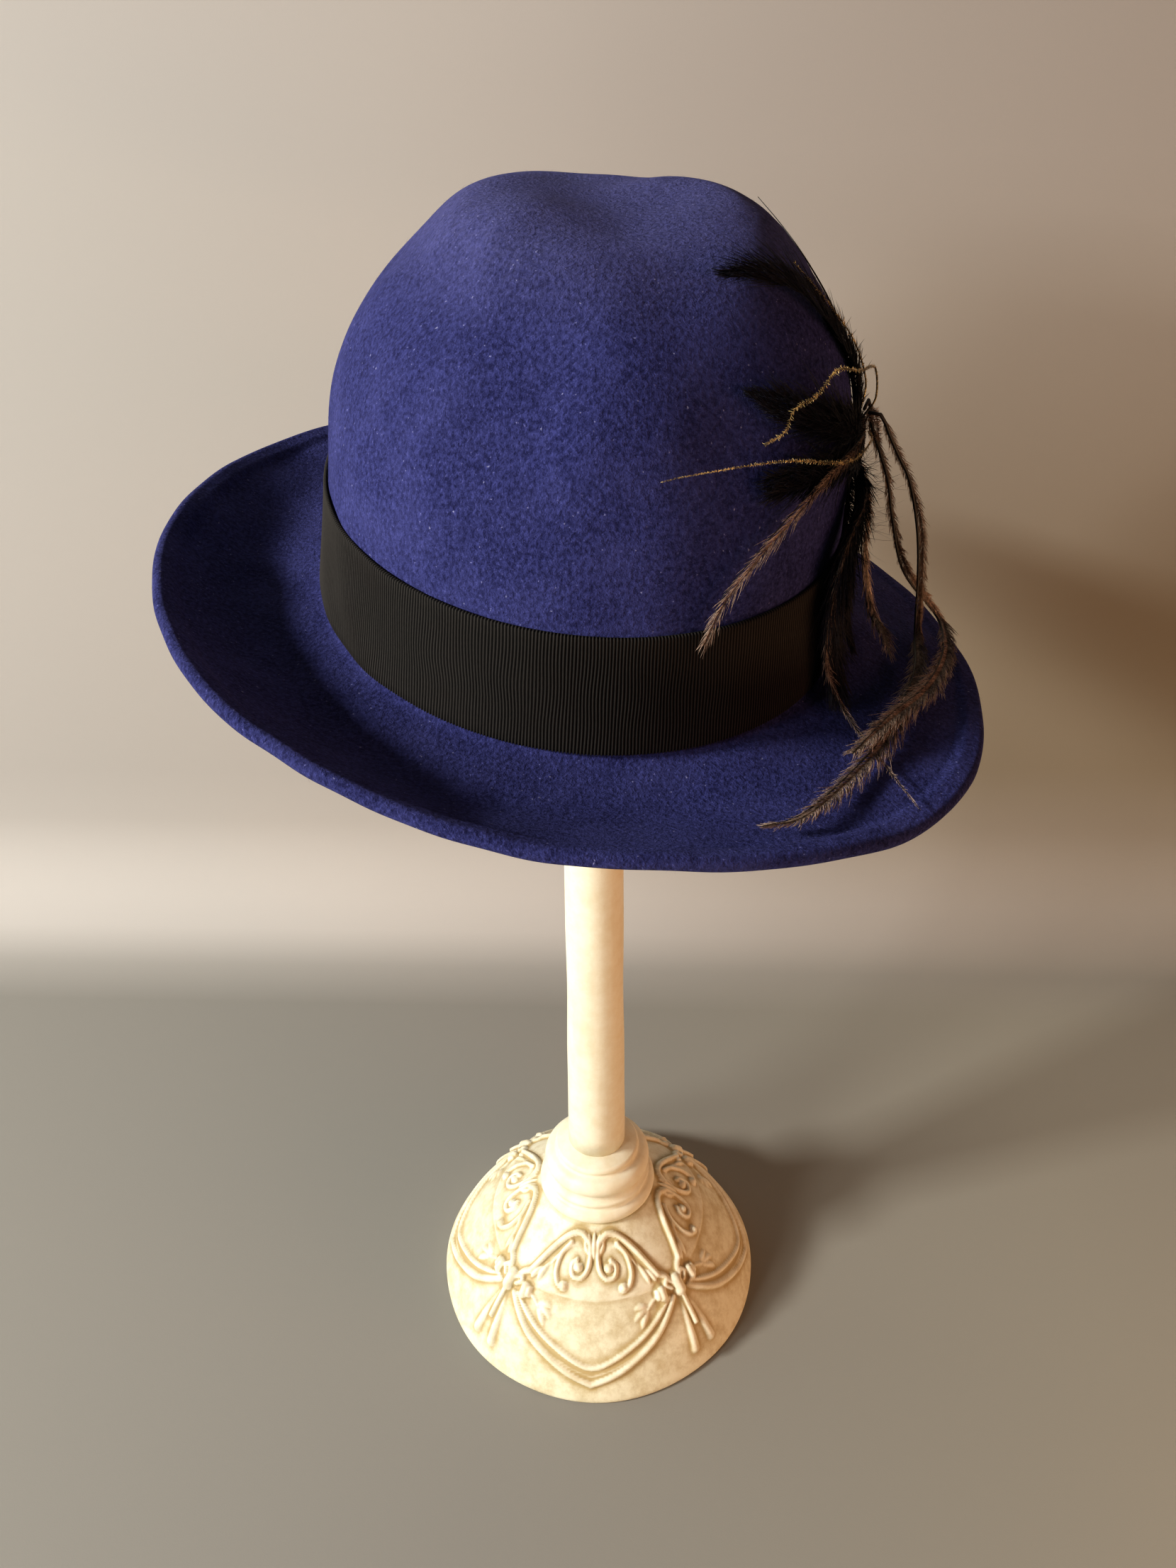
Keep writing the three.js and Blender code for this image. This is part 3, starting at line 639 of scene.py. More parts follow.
fuzz_finish = Finish("felt_fuzz", Roughness=0.9)
paler = fuzz_finish.spread(fuzz_finish.noise(6), 0.35, 0.7)
fuzz_finish.drive("Base Color", fuzz_finish.blend(paler, (0.03, 0.032, 0.12), (0.1, 0.1, 0.24)))
hair_corners, hair_faces = spikes(felt_hairs(FUZZ_COUNT, FUZZ_LONGEST, FUZZ_SEED), FUZZ_WIDE)
mesh_piece("felt_fuzz", in_room(hair_corners), hair_faces, fuzz_finish.material, "felt")

# %% [markdown]
# ## The ribbon
# Grosgrain is woven with thick cords across its width, so it shows close upright ribs and a tiny
# scallop along each edge. The ribs are real here: four columns of points to a rib, pushed in and
# out by a cosine. The ribbon is stretched round the crown, and puckers a little on the left.

# %% Grosgrain ribbon
RIBS, RIB_COLUMNS, RIB_DEEP, SCALLOP = 560, 4, 0.15, 0.2
RIBBON_LOW, RIBBON_HIGH, RIBBON_THICK, RIBBON_GAP = 0.7, 36.9, 0.9, 0.45
PUCKER_AT, PUCKER_SPREAD, PUCKER_DEEP = 205, 22, 0.3
PULL_AT, PULL_SPREAD, PULL_STEP = 226, 13, 0.009
PAINTED_SHADE_BETWEEN_RIBS, PAINTED_HIGHLIGHT_ON_RIBS = (0.0008, 0.0007, 0.0007), (0.038, 0.035, 0.032)
RIBBON_DUST = (0.02, 0.017, 0.015)


def pucker(bearing, share):
    """Slanting soft folds on the left, and a faint unevenness all round."""
    left = np.exp(-((np.degrees(bearing) - PUCKER_AT) / PUCKER_SPREAD) ** 2)
    slant = np.sin(np.degrees(bearing) / 3.2 + share * 5)
    uneven = np.sin(bearing * 9 + share * 2) + np.sin(bearing * 17 - share * 3 + 1)
    return left * PUCKER_DEEP * (1 + slant) + 0.06 * (uneven + 2)


def pulled(bearing, share):
    """The ribs step sideways where the ribbon was pulled tight, smoothly between its edges."""
    near = np.exp(-((np.degrees(bearing) - PULL_AT) / PULL_SPREAD) ** 2)
    wavy = 0.003 * np.sin(bearing * 23) * np.sin(share * 9)
    return PULL_STEP * near * np.tanh((0.45 - share) * 9) + wavy * share * (1 - share) * 4


def ribbon_grid():
    """Up the outside, over the edge, down the inside; heights are shares of the ribbon's width."""
    columns = RIBS * RIB_COLUMNS
    shares = np.r_[0, 0.004, np.linspace(0.02, 0.98, 15), 0.996, 1, 1, 0.5, 0]
    off_share = np.r_[0.35, 0.85, np.ones(15), 0.85, 0.35, 0, 0, 0][:, None]
    bearing, share = np.meshgrid(np.arange(columns) / columns * 2 * np.pi, shares)
    rib = np.cos(bearing * RIBS)
    bearing = bearing + pulled(bearing, share)
    scallop = SCALLOP * rib * (smooth_step(share, 0.9, 1) - (1 - smooth_step(share, 0, 0.1)))
    height = RIBBON_LOW + share * (RIBBON_HIGH - RIBBON_LOW) + scallop * (off_share > 0)
    off = RIBBON_GAP + off_share * (RIBBON_THICK + RIB_DEEP * rib + pucker(bearing, share))
    first_row = (height - CROWN[0, 0]) / (CROWN[1, 0] - CROWN[0, 0])
    point = stand_off(bearing, np.maximum(first_row / (len(CROWN) - 1), 0.001), off)[0]
    point[..., 2] = height
    return point, np.where(off_share > 0, 0.5 + 0.5 * rib, 0.5)


grosgrain = Finish("black_grosgrain", Roughness=0.75, Sheen_Weight=0.02, Sheen_Roughness=0.4,
                   Specular_IOR_Level=0.12)
threads = grosgrain.noise(0.35, detail=3, stretch=(1, 1, 0.25))
raised = grosgrain.spread(grosgrain.read("rib") + threads * 0.3, 0.35, 1.15)
dusty = grosgrain.spread(grosgrain.noise(24, detail=3), 0.5, 0.75, 0, 0.25)
# painted light on the ribs: the rib tops are painted pale tan as highlights and the hollows
# between them black as shade
cloth_with_painted_rib_light = grosgrain.blend(raised, PAINTED_SHADE_BETWEEN_RIBS, PAINTED_HIGHLIGHT_ON_RIBS)
grosgrain.drive("Base Color", grosgrain.blend(dusty, cloth_with_painted_rib_light, RIBBON_DUST))
grosgrain.bump(threads, 0.12, 0.6)

ribbon, ribs = ribbon_grid()
mesh_piece("ribbon", in_room(ribbon), grid_faces(ribbon, round_rows=True), grosgrain.material,
           "ribbon", "ribbon_band", rib=ribs)

# %% [markdown]
# ## The feathers
# A feather is a stiff shaft with hundreds of thin barbs on both sides. Black cock hackles have
# long glossy barbs that lie forward, ostrich-like fronds have short fluffy ones, and a peacock
# herl has hardly any, so it looks like a bronze wire. One function makes them all: the shaft is a
# tube along a smooth route over the felt, and each barb leaves it at an angle, bends forward and
# tapers off. Loose down at the foot of the feathers is barbs with no shaft.

# %% Tubes and feathers
def along_route(table, samples):
    """A table's smooth curve, sampled at even lengths of its first three columns."""
    fine = rows_at(np.asarray(table, float), np.linspace(0, len(table) - 1, 400), False)
    length = np.r_[0, np.cumsum(np.linalg.norm(np.diff(fine[:, :3], axis=0), axis=1))]
    wanted = np.interp(samples * length[-1], length, np.arange(len(fine)))
    low = np.minimum(wanted.astype(int), len(fine) - 2)
    share = (wanted - low)[:, None]
    return fine[low] * (1 - share) + fine[low + 1] * share, length[-1]


def tube(path, facing_out, radius, sides=8):
    """A round rod along a path: cosine across, sine outward; its ends close to points."""
    along = unit(np.gradient(path, axis=0))
    across = unit(np.cross(along, facing_out))
    out = np.cross(across, along)
    turns = -np.arange(sides)[:, None] / sides * 2 * np.pi
    radius = np.reshape(radius, (-1, 1, 1))
    ring = np.cos(turns) * across[:, None] * radius + np.sin(turns) * out[:, None] * radius
    ends = [np.broadcast_to(path[i], (1, sides, 3)) for i in (0, -1)]
    return np.concatenate([ends[0], path[:, None] + ring, ends[1]])


def barb_paths(table, length_mm, barbs, chance):
    """Four points to a barb: out at its angle, then bending forward, with a little droop."""
    FIRST, LAST, NEAR, SHORTEST, CLUMP = 0.03, 0.995, 0.01, 0.25, 6
    place, side = np.meshgrid(np.linspace(FIRST, LAST, barbs["count"]), (-1.0, 1.0))
    place, side = place.ravel(), side.ravel()[:, None]
    place = np.clip(place + chance.normal(size=place.size) * 0.35 / barbs["count"], 0, 1)
    rows, _ = along_route(table, place)
    root, out = rows[:, :3], unit(rows[:, 3:6])
    ahead, _ = along_route(table, np.minimum(place + NEAR, 1))
    behind, _ = along_route(table, np.maximum(place - NEAR, 0))
    along = unit(ahead[:, :3] - behind[:, :3])
    across = np.cross(along, out) * side
    each = (len(root), 1)
    ragged, bend = barbs["ragged"], barbs["bend"]
    shorter = 1 - ragged * chance.random(each) + 0.5 * ragged * chance.normal(size=each)
    length = np.maximum(rows[:, 6:7] * shorter, SHORTEST)
    clump = np.sin(place * length_mm * 0.9 + side[:, 0] * 2)[:, None] * CLUMP
    angle = np.radians(barbs["angle"] + clump + chance.normal(size=each) * barbs["wild"])
    lift = barbs["lift"] + chance.normal(size=each) * barbs["fluff"]
    steps = np.array([0, 0.34, 0.68, 1.0])[:, None]
    straight = np.sin(angle) * across + np.cos(angle) * along + lift * out
    forward = bend * steps ** 2 * along[:, None] - 0.5 * bend * steps ** 2 * across[:, None]
    sway = chance.normal(size=(len(root), 1, 3)) * 0.05 * steps ** 2
    return root[:, None] + length[:, None] * (straight[:, None] * steps + forward + sway), place


def feather_table(route):
    """Points, the way the feather faces, and barb lengths. The last column of a route turns the
    feather's face about its shaft: cosine of the way out, plus sine of the way across."""
    route = np.array([(*row, 0)[:5] for row in route], float)
    point, out = stand_off(np.radians(route[:, 0]), route[:, 1], route[:, 2])
    twist = np.radians(route[:, 4:5])
    across = unit(np.cross(unit(np.gradient(point, axis=0)), out))
    out = np.cos(twist) * out + np.sin(twist) * across
    return np.concatenate([point, out, route[:, 3:4]], axis=1)


def shaft_rod(rows, half_wide):
    """Corners and triangles of a shaft that tapers, with zero for how far out and along."""
    rod = tube(rows[:, :3], rows[:, 3:6], half_wide * (1.05 - 0.8 * np.linspace(0, 1, len(rows))))
    faces = grid_faces(rod)
    nothing = np.zeros(rod.size // 3)
    return (rod.reshape(-1, 3), np.concatenate([faces[:, [0, 1, 2]], faces[:, [0, 2, 3]]]),
            nothing, nothing)


def barb_hairs(table, length, barbs, seed):
    """Corners and triangles of all barbs, and how far out and how far along each corner is."""
    paths, place = barb_paths(table, length, barbs, np.random.default_rng(seed))
    hair, triangles = spikes(paths, barbs["wide"])
    one = np.r_[np.repeat(np.linspace(0.3, 0.9, paths.shape[1]), 3), 1]
    return hair, triangles, np.tile(one, len(paths)), np.repeat(place, len(one))


def feather(name, kind, shaft, seed, route, **changes):
    """A feather over its route: rows of bearing, run, stand-off, barb length and twist. With no
    shaft it is loose down, barbs only, and takes the place of no plain solid."""
    LAYER_SIDES = (-1, 1, -2, 2)
    finish, slot, barbs = KINDS[kind]
    barbs = {**barbs, **changes}
    table = feather_table(route)
    rows, length = along_route(table, np.linspace(0, 1, 60))
    parts = [shaft_rod(rows, shaft)] if shaft else []
    across = np.cross(unit(np.gradient(table[:, :3], axis=0)), table[:, 3:6])
    for layer in range(barbs["layers"]):
        beside, long_barbs = LAYER_SIDES[layer] * barbs["apart"], table[:, 6:7] > 3
        shifted = table.copy()
        shifted[:, :3] += across * beside * long_barbs + table[:, 3:6] * 0.35 * layer
        parts.append(barb_hairs(shifted, length, barbs, seed + 100 * layer))
    corners, triangles, out, along = zip(*parts)
    first = np.cumsum([0, *map(len, corners[:-1])])
    triangles = np.concatenate([part + start for part, start in zip(triangles, first)])
    print(f"{name} is {length:.0f} mm long")
    mesh_piece(name, in_room(np.concatenate(corners)), triangles, finish, slot,
               name if shaft else None, barb=np.concatenate(out), tip=np.concatenate(along))


# %% Feather finishes
def feather_finish(name, shaft, dark, pale, period, shaft_streak_range=(0.4, 0.6), shaft_streak_dark_share=0.3, **constants):
    """A shaft in streaks between a darker share of its tone and its tone, and barbs of two tones
    in streaks, paler outward and to the tip.
    """
    finish = Finish(name, **constants)
    streak = finish.noise(period, detail=3, rough=0.6) * 0.6 + finish.noise(period * 5) * 0.4
    out = finish.read("barb")
    toward_tip = finish.spread(finish.read("tip"), 0.25, 0.65, 0.45, 1)
    barb = finish.blend(finish.spread(streak + out * 0.15, 0.42, 0.68) * toward_tip, dark, pale)
    streaked_shaft = tuple(shaft_streak_dark_share * part for part in shaft)
    streaked_shaft = finish.blend(finish.spread(streak, *shaft_streak_range), streaked_shaft, shaft)
    finish.drive("Base Color", finish.blend(finish.spread(out, 0.0, 0.3), streaked_shaft, barb))
    finish.bump(finish.noise(0.3), 0.05, 0.4)
    return finish.material


black_hackle = feather_finish("black_hackle", (0.002, 0.002, 0.002), (0.001, 0.001, 0.002),
                              (0.006, 0.007, 0.017), 1.5, Roughness=0.48, Specular_IOR_Level=0.25)
brown_frond = feather_finish("brown_frond", (0.006, 0.004, 0.003), (0.035, 0.021, 0.014),
                             (0.46, 0.345, 0.27), 1.0, Roughness=0.55)
# the herl's dark bronze is its own colour; the bright gold specks on its shaft and barbs are
# painted glints
bronze_herl = feather_finish("bronze_herl", (0.70, 0.56, 0.26), (0.05, 0.035, 0.012),
                             (0.85, 0.68, 0.32), 1.1, (0.48, 0.6), 0.1,
                             Roughness=0.3, Metallic=0.6)
pale_frond = feather_finish("pale_frond", (0.012, 0.01, 0.012), (0.05, 0.03, 0.02),
                            (0.62, 0.52, 0.43), 1.0, Roughness=0.6)
dark_quill = feather_finish("dark_quill", (0.012, 0.008, 0.006), (0.03, 0.02, 0.014),
                            (0.03, 0.02, 0.014), 3, Roughness=0.35)
smoky_down = feather_finish("smoky_down", (0.02, 0.02, 0.03), (0.012, 0.013, 0.02),
                            (0.10, 0.11, 0.14), 2.0, Roughness=0.5)
thread = feather_finish("black_thread", (0.006, 0.005, 0.006), (0.003, 0.002, 0.003),
                        (0.012, 0.01, 0.011), 0.5, Roughness=0.6)
print("seven feather finishes")

# %% Feathers
# barbs: how many, degrees from the shaft, width, forward bend; unevenness of length, of angle and
# of lift; mean lift; how many layers, and how far they lie apart
HACKLE = dict(count=200, angle=28, wide=0.34, bend=0.2, ragged=0.4, wild=9, fluff=0.1, lift=0.06,
              layers=3, apart=1.5)
FROND = dict(HACKLE, count=420, angle=46, wide=0.21, bend=0.35, ragged=0.35, wild=8, fluff=0.12,
             layers=1)
PLUME = dict(FROND, count=800, angle=42, wide=0.3, ragged=0.3, wild=4, fluff=0.05, lift=-0.03)
HERL = dict(FROND, count=150, angle=62, wide=0.2, bend=0.1, ragged=0.3, wild=14, fluff=0.5)
DOWN = dict(FROND, count=110, angle=62, wide=0.13, bend=-0.2, ragged=0.6, wild=22, fluff=0.4,
            apart=0)
BLACK_DOWN = dict(DOWN, count=420, wide=0.34)
# finish, slot and barbs of each kind
KINDS = {
    "hackle": (black_hackle, "feather_black", HACKLE),
    "quill": (dark_quill, "feather_brown", dict(layers=0)),
    "herl": (bronze_herl, "feather_gold", HERL),
    "frond": (brown_frond, "feather_brown", FROND),
    "pale frond": (pale_frond, "feather_brown", FROND),
    "plume": (brown_frond, "feather_brown", PLUME),
    "smoky down": (smoky_down, "feather_black", DOWN),
    "black down": (black_hackle, "feather_black", BLACK_DOWN),
    "brown down": (brown_frond, "feather_black", DOWN),
}
# bearing, run, stand-off, barb length and twist
feather("hackle_up", "hackle", 0.35, 11, [
    (334.6, 0.2765, 1.3, 5), (331, 0.31, 2, 6), (329, 0.37, 2.5, 7), (325, 0.43, 2.5, 9),
    (320, 0.5, 2.5, 10), (314, 0.58, 2.5, 12), (303, 0.64, 2.5, 10), (292, 0.665, 2.5, 3),
], count=240, wide=0.26, layers=2, angle=18, fluff=0.05, lift=0.12)
feather("hackle_front", "hackle", 0.4, 12, [
    (333.7, 0.262, 2.3, 5), (322, 0.3, 2.2, 13), (311, 0.341, 2.2, 14),
    (300, 0.382, 2.2, 9), (293, 0.419, 2.2, 5), (287, 0.444, 2.2, 2),
], count=300, fluff=0.06, angle=22)
feather("hackle_low", "hackle", 0.3, 13, [
    (333.7, 0.207, 2.3, 1), (324, 0.25, 2.1, 6), (314, 0.274, 2, 9),
    (300, 0.292, 2, 9), (288, 0.298, 2, 4),
])
feather("hackle_down", "hackle", 0.45, 14, [
    (334.6, 0.195, 1.5, 8), (327, 0.18, 3, 11), (319, 0.16, 3.2, 13), (312, 0.13, 3.2, 14),
    (309, 0.09, 3.2, 14), (310, 0.03, 3.4, 12), (308, -0.154, 3, 5),
], count=300, layers=4, angle=24, lift=0.2)
feather("hackle_side", "hackle", 0.4, 15, [
    (336.5, 0.195, 1.5, 4), (333, 0.16, 3, 5), (329, 0.12, 3.2, 6), (326, 0.07, 3.2, 6),
    (325, 0.02, 3.4, 5), (324, -0.13, 3, 3),
], count=260, angle=18, lift=0.15, fluff=0.1)
feather("quill_long", "quill", 0.38, 1, [
    (336.5, 0.275, 1.2, 0), (334, 0.4, 1.2, 0), (332, 0.5, 1.2, 0), (333, 0.6, 1.3, 0),
    (337, 0.7, 1.6, 0), (341, 0.79, 3.2, 0),
])
feather("herl_up", "herl", 0.28, 16, [
    (335.4, 0.275, 2.4, 0.5), (334, 0.33, 4.4, 0.7), (327, 0.42, 4.6, 0.8), (321, 0.5, 4.6, 0.8),
    (317, 0.57, 4.6, 0.8), (315, 0.625, 4.6, 0.5),
])
feather("herl_kinked", "herl", 0.3, 17, [
    (334.3, 0.275, 3.7, 0.4), (332, 0.31, 7, 0.5), (328, 0.37, 8, 0.6), (317, 0.4, 7.5, 0.7),
    (308, 0.426, 7, 0.8), (300, 0.406, 7, 0.8), (294, 0.399, 7, 0.8), (291, 0.37, 7, 0.8),
    (286, 0.358, 7, 0.6),
], count=240)
feather("herl_front", "herl", 0.28, 18, [
    (335, 0.245, 5.2, 0.5), (322, 0.275, 6.6, 0.7), (308, 0.287, 6.4, 0.8), (290, 0.328, 6, 0.6),
    (271, 0.334, 5.5, 0.3), (265, 0.329, 5.5, 0.2),
], count=240)
feather("frond_front", "frond", 0.3, 19, [
    (333.7, 0.235, 2.6, 1), (324, 0.28, 4.3, 2), (314, 0.29, 4.3, 3.5), (305, 0.287, 4.3, 4.2),
    (297, 0.268, 4.3, 4.2), (284, 0.212, 4.2, 4.2), (277, 0.161, 4.2, 3.8), (274, 0.108, 4.2, 3),
], count=260, angle=34)
feather("frond_side", "pale frond", 0.3, 20, [
    (336.2, 0.1975, 3.5, 2, 50), (337, 0.13, 7, 4, 60), (337, 0.06, 8, 4, 60),
    (336, -0.18, 8, 6, 40), (331, -0.27, 6.5, 6, 20), (327, -0.31, 6, 5),
], angle=24, count=320, wild=12, wide=0.3)
feather("frond_brim", "frond", 0.3, 21, [
    (334.6, 0.195, 3.6, 0.8), (320, 0.195, 6.4, 3), (308, 0.15, 6.2, 4), (305, 0.092, 6.2, 5),
    (304, 0.04, 6.4, 5), (306, -0.17, 5.5, 4), (304, -0.394, 1.3, 2.5), (301, -0.56, 1.3, 2),
    (294, -0.93, 2.4, 0.8),
], count=230, angle=36)
feather("plume_outer", "plume", 0.55, 22, [
    (336.5, 0.276, 3.9, 2.4, 80), (338.6, 0.284, 6, 2.8, 80), (339.2, 0.24, 7, 2.9, 80),
    (339.6, 0.156, 14, 2.9, 80), (340.6, 0.09, 18, 3, 80), (342, 0.02, 24.5, 3.2, 75),
    (345, -0.8, 7, 5, 30), (337, -0.77, 5.4, 6.5), (328, -0.677, 5.4, 7),
    (319, -0.577, 5.4, 7), (309, -0.47, 5.4, 6), (296, -0.48, 5.2, 3),
])
feather("plume_inner", "plume", 0.55, 23, [
    (335.2, 0.276, 4.9, 2.4, 80), (335.4, 0.268, 9, 2.8, 80), (336.4, 0.232, 12, 2.9, 80),
    (338, 0.195, 16, 2.9, 80), (339, 0.153, 21, 3, 80), (339, 0.085, 25.5, 3.2, 80),
    (339.5, 0.03, 28, 3.4, 75), (339, -0.6, 4.5, 5, 30), (325, -0.54, 3.2, 7),
    (306, -0.5, 3.2, 7), (292, -0.558, 3, 6), (280, -0.72, 3.2, 4),
    (274, -0.78, 3.4, 2),
])
feather("down_smoky", "smoky down", None, 31, [
    (337, 0.2, 3.4, 8, 70), (337.5, 0.16, 5, 10, 70), (338, 0.12, 6, 10, 70),
    (338, 0.07, 6.5, 8, 70),
])
feather("down_black", "black down", None, 32, [
    (335, 0.24, 0.7, 4), (335.5, 0.2, 0.7, 5), (335, 0.16, 0.8, 6), (334, 0.12, 0.8, 7),
    (332, 0.06, 1.2, 7),
], fluff=0.25, lift=0.4, angle=30)
feather("down_high", "black down", None, 33, [
    (330, 0.27, 0.8, 4), (329, 0.31, 0.9, 4.5), (328, 0.36, 0.9, 4.5), (326, 0.42, 0.9, 4.5),
    (321, 0.5, 0.9, 4),
], fluff=0.2, lift=0.35, angle=16)
feather("down_loop", "brown down", None, 34, [
    (335.4, 0.21, 2.8, 1, 80), (335.6, 0.244, 3.6, 1.3, 80), (336.4, 0.268, 5.2, 1.5, 80),
    (337.6, 0.269, 7, 1.5, 80), (338.8, 0.245, 8.6, 1.5, 80), (339.4, 0.21, 9.6, 1.1, 80),
], count=320, wide=0.16, fluff=0.5, angle=70)

# %% [markdown]
# The stalks are bound together with black thread. The binding is a rod of even wraps, and a row
# of half waves for its outline gives each wrap its round.

# %% Binding
BINDING_BEARING, BINDING_RUNS, BINDING_RADIUS = np.radians([335.5] * 2), [0.2, 0.272], 2.2
WRAPS, POINTS_PER_WRAP, BINDING_SIDES, WRAP_DEEP, BINDING_GAP = 22, 6, 24, 0.35, 0.3


def wrapped_rod():
    """A rod between the two ends of the binding, its radius rising and falling once a wrap."""
    off = np.full(2, BINDING_RADIUS + BINDING_GAP)
    (low, high), out = stand_off(BINDING_BEARING, BINDING_RUNS, off)
    share = np.linspace(0, 1, WRAPS * POINTS_PER_WRAP + 1)
    path = low + (high - low) * share[:, None]
    bulge = np.abs(np.sin(share * WRAPS * np.pi))
    ends = 0.55 + 0.45 * np.sin(np.pi * share) ** 0.35
    radius = (BINDING_RADIUS - WRAP_DEEP + WRAP_DEEP * bulge) * ends
    return tube(path, np.broadcast_to(out[0], path.shape), radius, BINDING_SIDES)


rod = wrapped_rod()
mesh_piece("binding", in_room(rod), grid_faces(rod), thread, "binding", "feather_binding")

# %% [markdown]
# ## The stand
# The stand is turned and cast, painted cream and rubbed with a brown glaze that stays in the
# hollows. The dome carries a relief that repeats eight times, every second time mirrored: a crest
# of scrolls at the top, a cord round the dome, bows with hanging tails, a double ribbon that swags
# from bow to bow, and sprigs with a bud. The relief is a height map: each stroke of it is a bead
# along a line, and where strokes meet, the higher one wins with a soft join.

# %% Painted finish
CREAM, CREAM_WORN, SMEAR = (0.79, 0.765, 0.615), (0.69, 0.62, 0.43), (0.62, 0.50, 0.30)
GLAZE, GLAZE_WORN, STAIN = (0.73, 0.70, 0.52), (0.57, 0.51, 0.33), (0.43, 0.325, 0.15)


def painted(name, has_hollows):
    """Cream paint, a little uneven, browner in hollows and in faint upright smears."""
    finish = Finish(name, Roughness=0.5, Specular_IOR_Level=0.3)
    mottled = finish.spread(finish.noise(9, detail=6, rough=0.72), 0.4, 0.68)
    smears = finish.spread(finish.noise(11, detail=3, stretch=(1, 1, 0.12)), 0.52, 0.8, 0, 0.45)
    cream = finish.blend(mottled * 0.6, CREAM, CREAM_WORN)
    cream = finish.blend(smears, cream, SMEAR)
    if has_hollows:
        glazed = finish.blend(mottled, GLAZE, GLAZE_WORN)
        cream = finish.blend(finish.spread(finish.read("raised"), 0.1, 0.7), glazed, cream)
        stain = finish.spread(finish.read("hollow") + mottled * 0.22, 0.05, 0.62, 0, 0.92)
        cream = finish.blend(stain, cream, STAIN)
    finish.drive("Base Color", cream)
    finish.drive("Roughness", finish.spread(mottled, 0, 1, 0.42, 0.6))
    finish.bump(finish.noise(1.4, detail=4, rough=0.6), 0.14, 0.6)
    return finish.material


paint, stained_paint = painted("cream_paint", False), painted("antiqued_cream_paint", True)
print("two painted finishes")

# %% Relief strokes
CREST_BEARING = -94.7  # degrees, the middle of the front crest
MOTIFS, BEAD_SPREAD, BEAD_POWER = 8, 1.42, 1.1
# outline of the dome: radius and height
DOME = np.array([
    (77, 0.4), (77.9, 1.2), (77.4, 3.5), (75.0, 8), (71.2, 15), (65.6, 23), (59.0, 31),
    (51.6, 39), (43.0, 47), (34.2, 54), (27, 59.6),
])
# points (degrees from the crest, height), half width, rise, and shape if not even, of each stroke
STROKES = [
    ([(0, 50.2), (0, 54), (0, 58.6)], 1.5, 2.6, "leaf"),
    ([(0.5, 51.5), (3, 55), (5.5, 58.4)], 1.2, 2.3, "leaf"),
    ([(1.5, 51), (5.5, 53.4), (9, 57.2)], 1.1, 2.0, "leaf"),
    ([(4, 55.5), (10, 57.4), (17, 57.2), (24, 55), (30, 51), (34, 46.5), (37, 42)],
     1.5, 2.6),
    ([(12, 54.6), (19, 53.2), (25, 49.6), (28.5, 45.6)], 0.9, 1.7, "leaf"),
    ([(4, 55.5), (2.6, 52), (4, 47.8), (8, 45.4), (12.6, 46), (14, 48.8), (11.5, 50.2)],
     1.2, 2.2),
    ([(9.8, 48.2), (9.9, 48.3)], 2.1, 3.0),
    ([(18, 54.6), (22.6, 51), (23, 46), (20, 42.4), (17, 41.8)], 1.15, 2.1),
    ([(16.6, 42), (16.7, 42.1)], 2.0, 2.8),
    ([(28, 47.6), (30.6, 43.6), (31.5, 40)], 1.3, 1.9, "leaf"),
    ([(31, 46), (34, 42.6), (35.6, 39.6)], 1.3, 2.1, "leaf"),
    ([(37, 42), (40, 40.4), (42, 38.4)], 1.6, 2.2),
    ([(0, 39.4), (15, 39.2), (30, 38.4), (42, 36.8)], 0.65, 0.9),
    ([(0, 16.2), (4, 17), (13, 21), (25, 26.4), (38, 33.4)], 1.25, 2.0),
    ([(0, 9.5), (8, 13), (19, 18.6), (28.5, 23.9), (40, 32.6)], 1.55, 2.3),
    ([(0, 12.8), (10, 16.2), (22, 21.8), (34, 29.2)], 0.8, 1.1),
    ([(44, 33), (42.8, 26), (41.8, 19), (41, 10.5)], 2.1, 2.3, "tail"),
    ([(44.6, 33), (44.7, 26), (44.8, 20)], 1.0, 2.9),
    ([(45, 37.2), (45, 33.4)], 2.9, 4.2),
    ([(43.4, 36.6), (40.4, 38.6), (38.6, 37.6), (41, 35.6)], 1.3, 2.9),
    ([(42, 35.8), (38, 36.4), (34, 36), (30, 34.8), (26.5, 33)], 0.75, 1.5),
    ([(35.6, 36.9), (35.5, 34.3)], 2.2, 3.6),
    ([(33.4, 36.9), (33.2, 34.9)], 1.5, 3.0),
    ([(27.4, 33.4), (23.4, 34.6), (19.6, 34.4)], 1.5, 1.8, "leaf"),
    ([(27, 33), (22.4, 32.4), (18.8, 30.4)], 1.5, 1.8, "leaf"),
    ([(27, 32.6), (23.6, 30), (21.6, 27)], 1.5, 1.8, "leaf"),
]


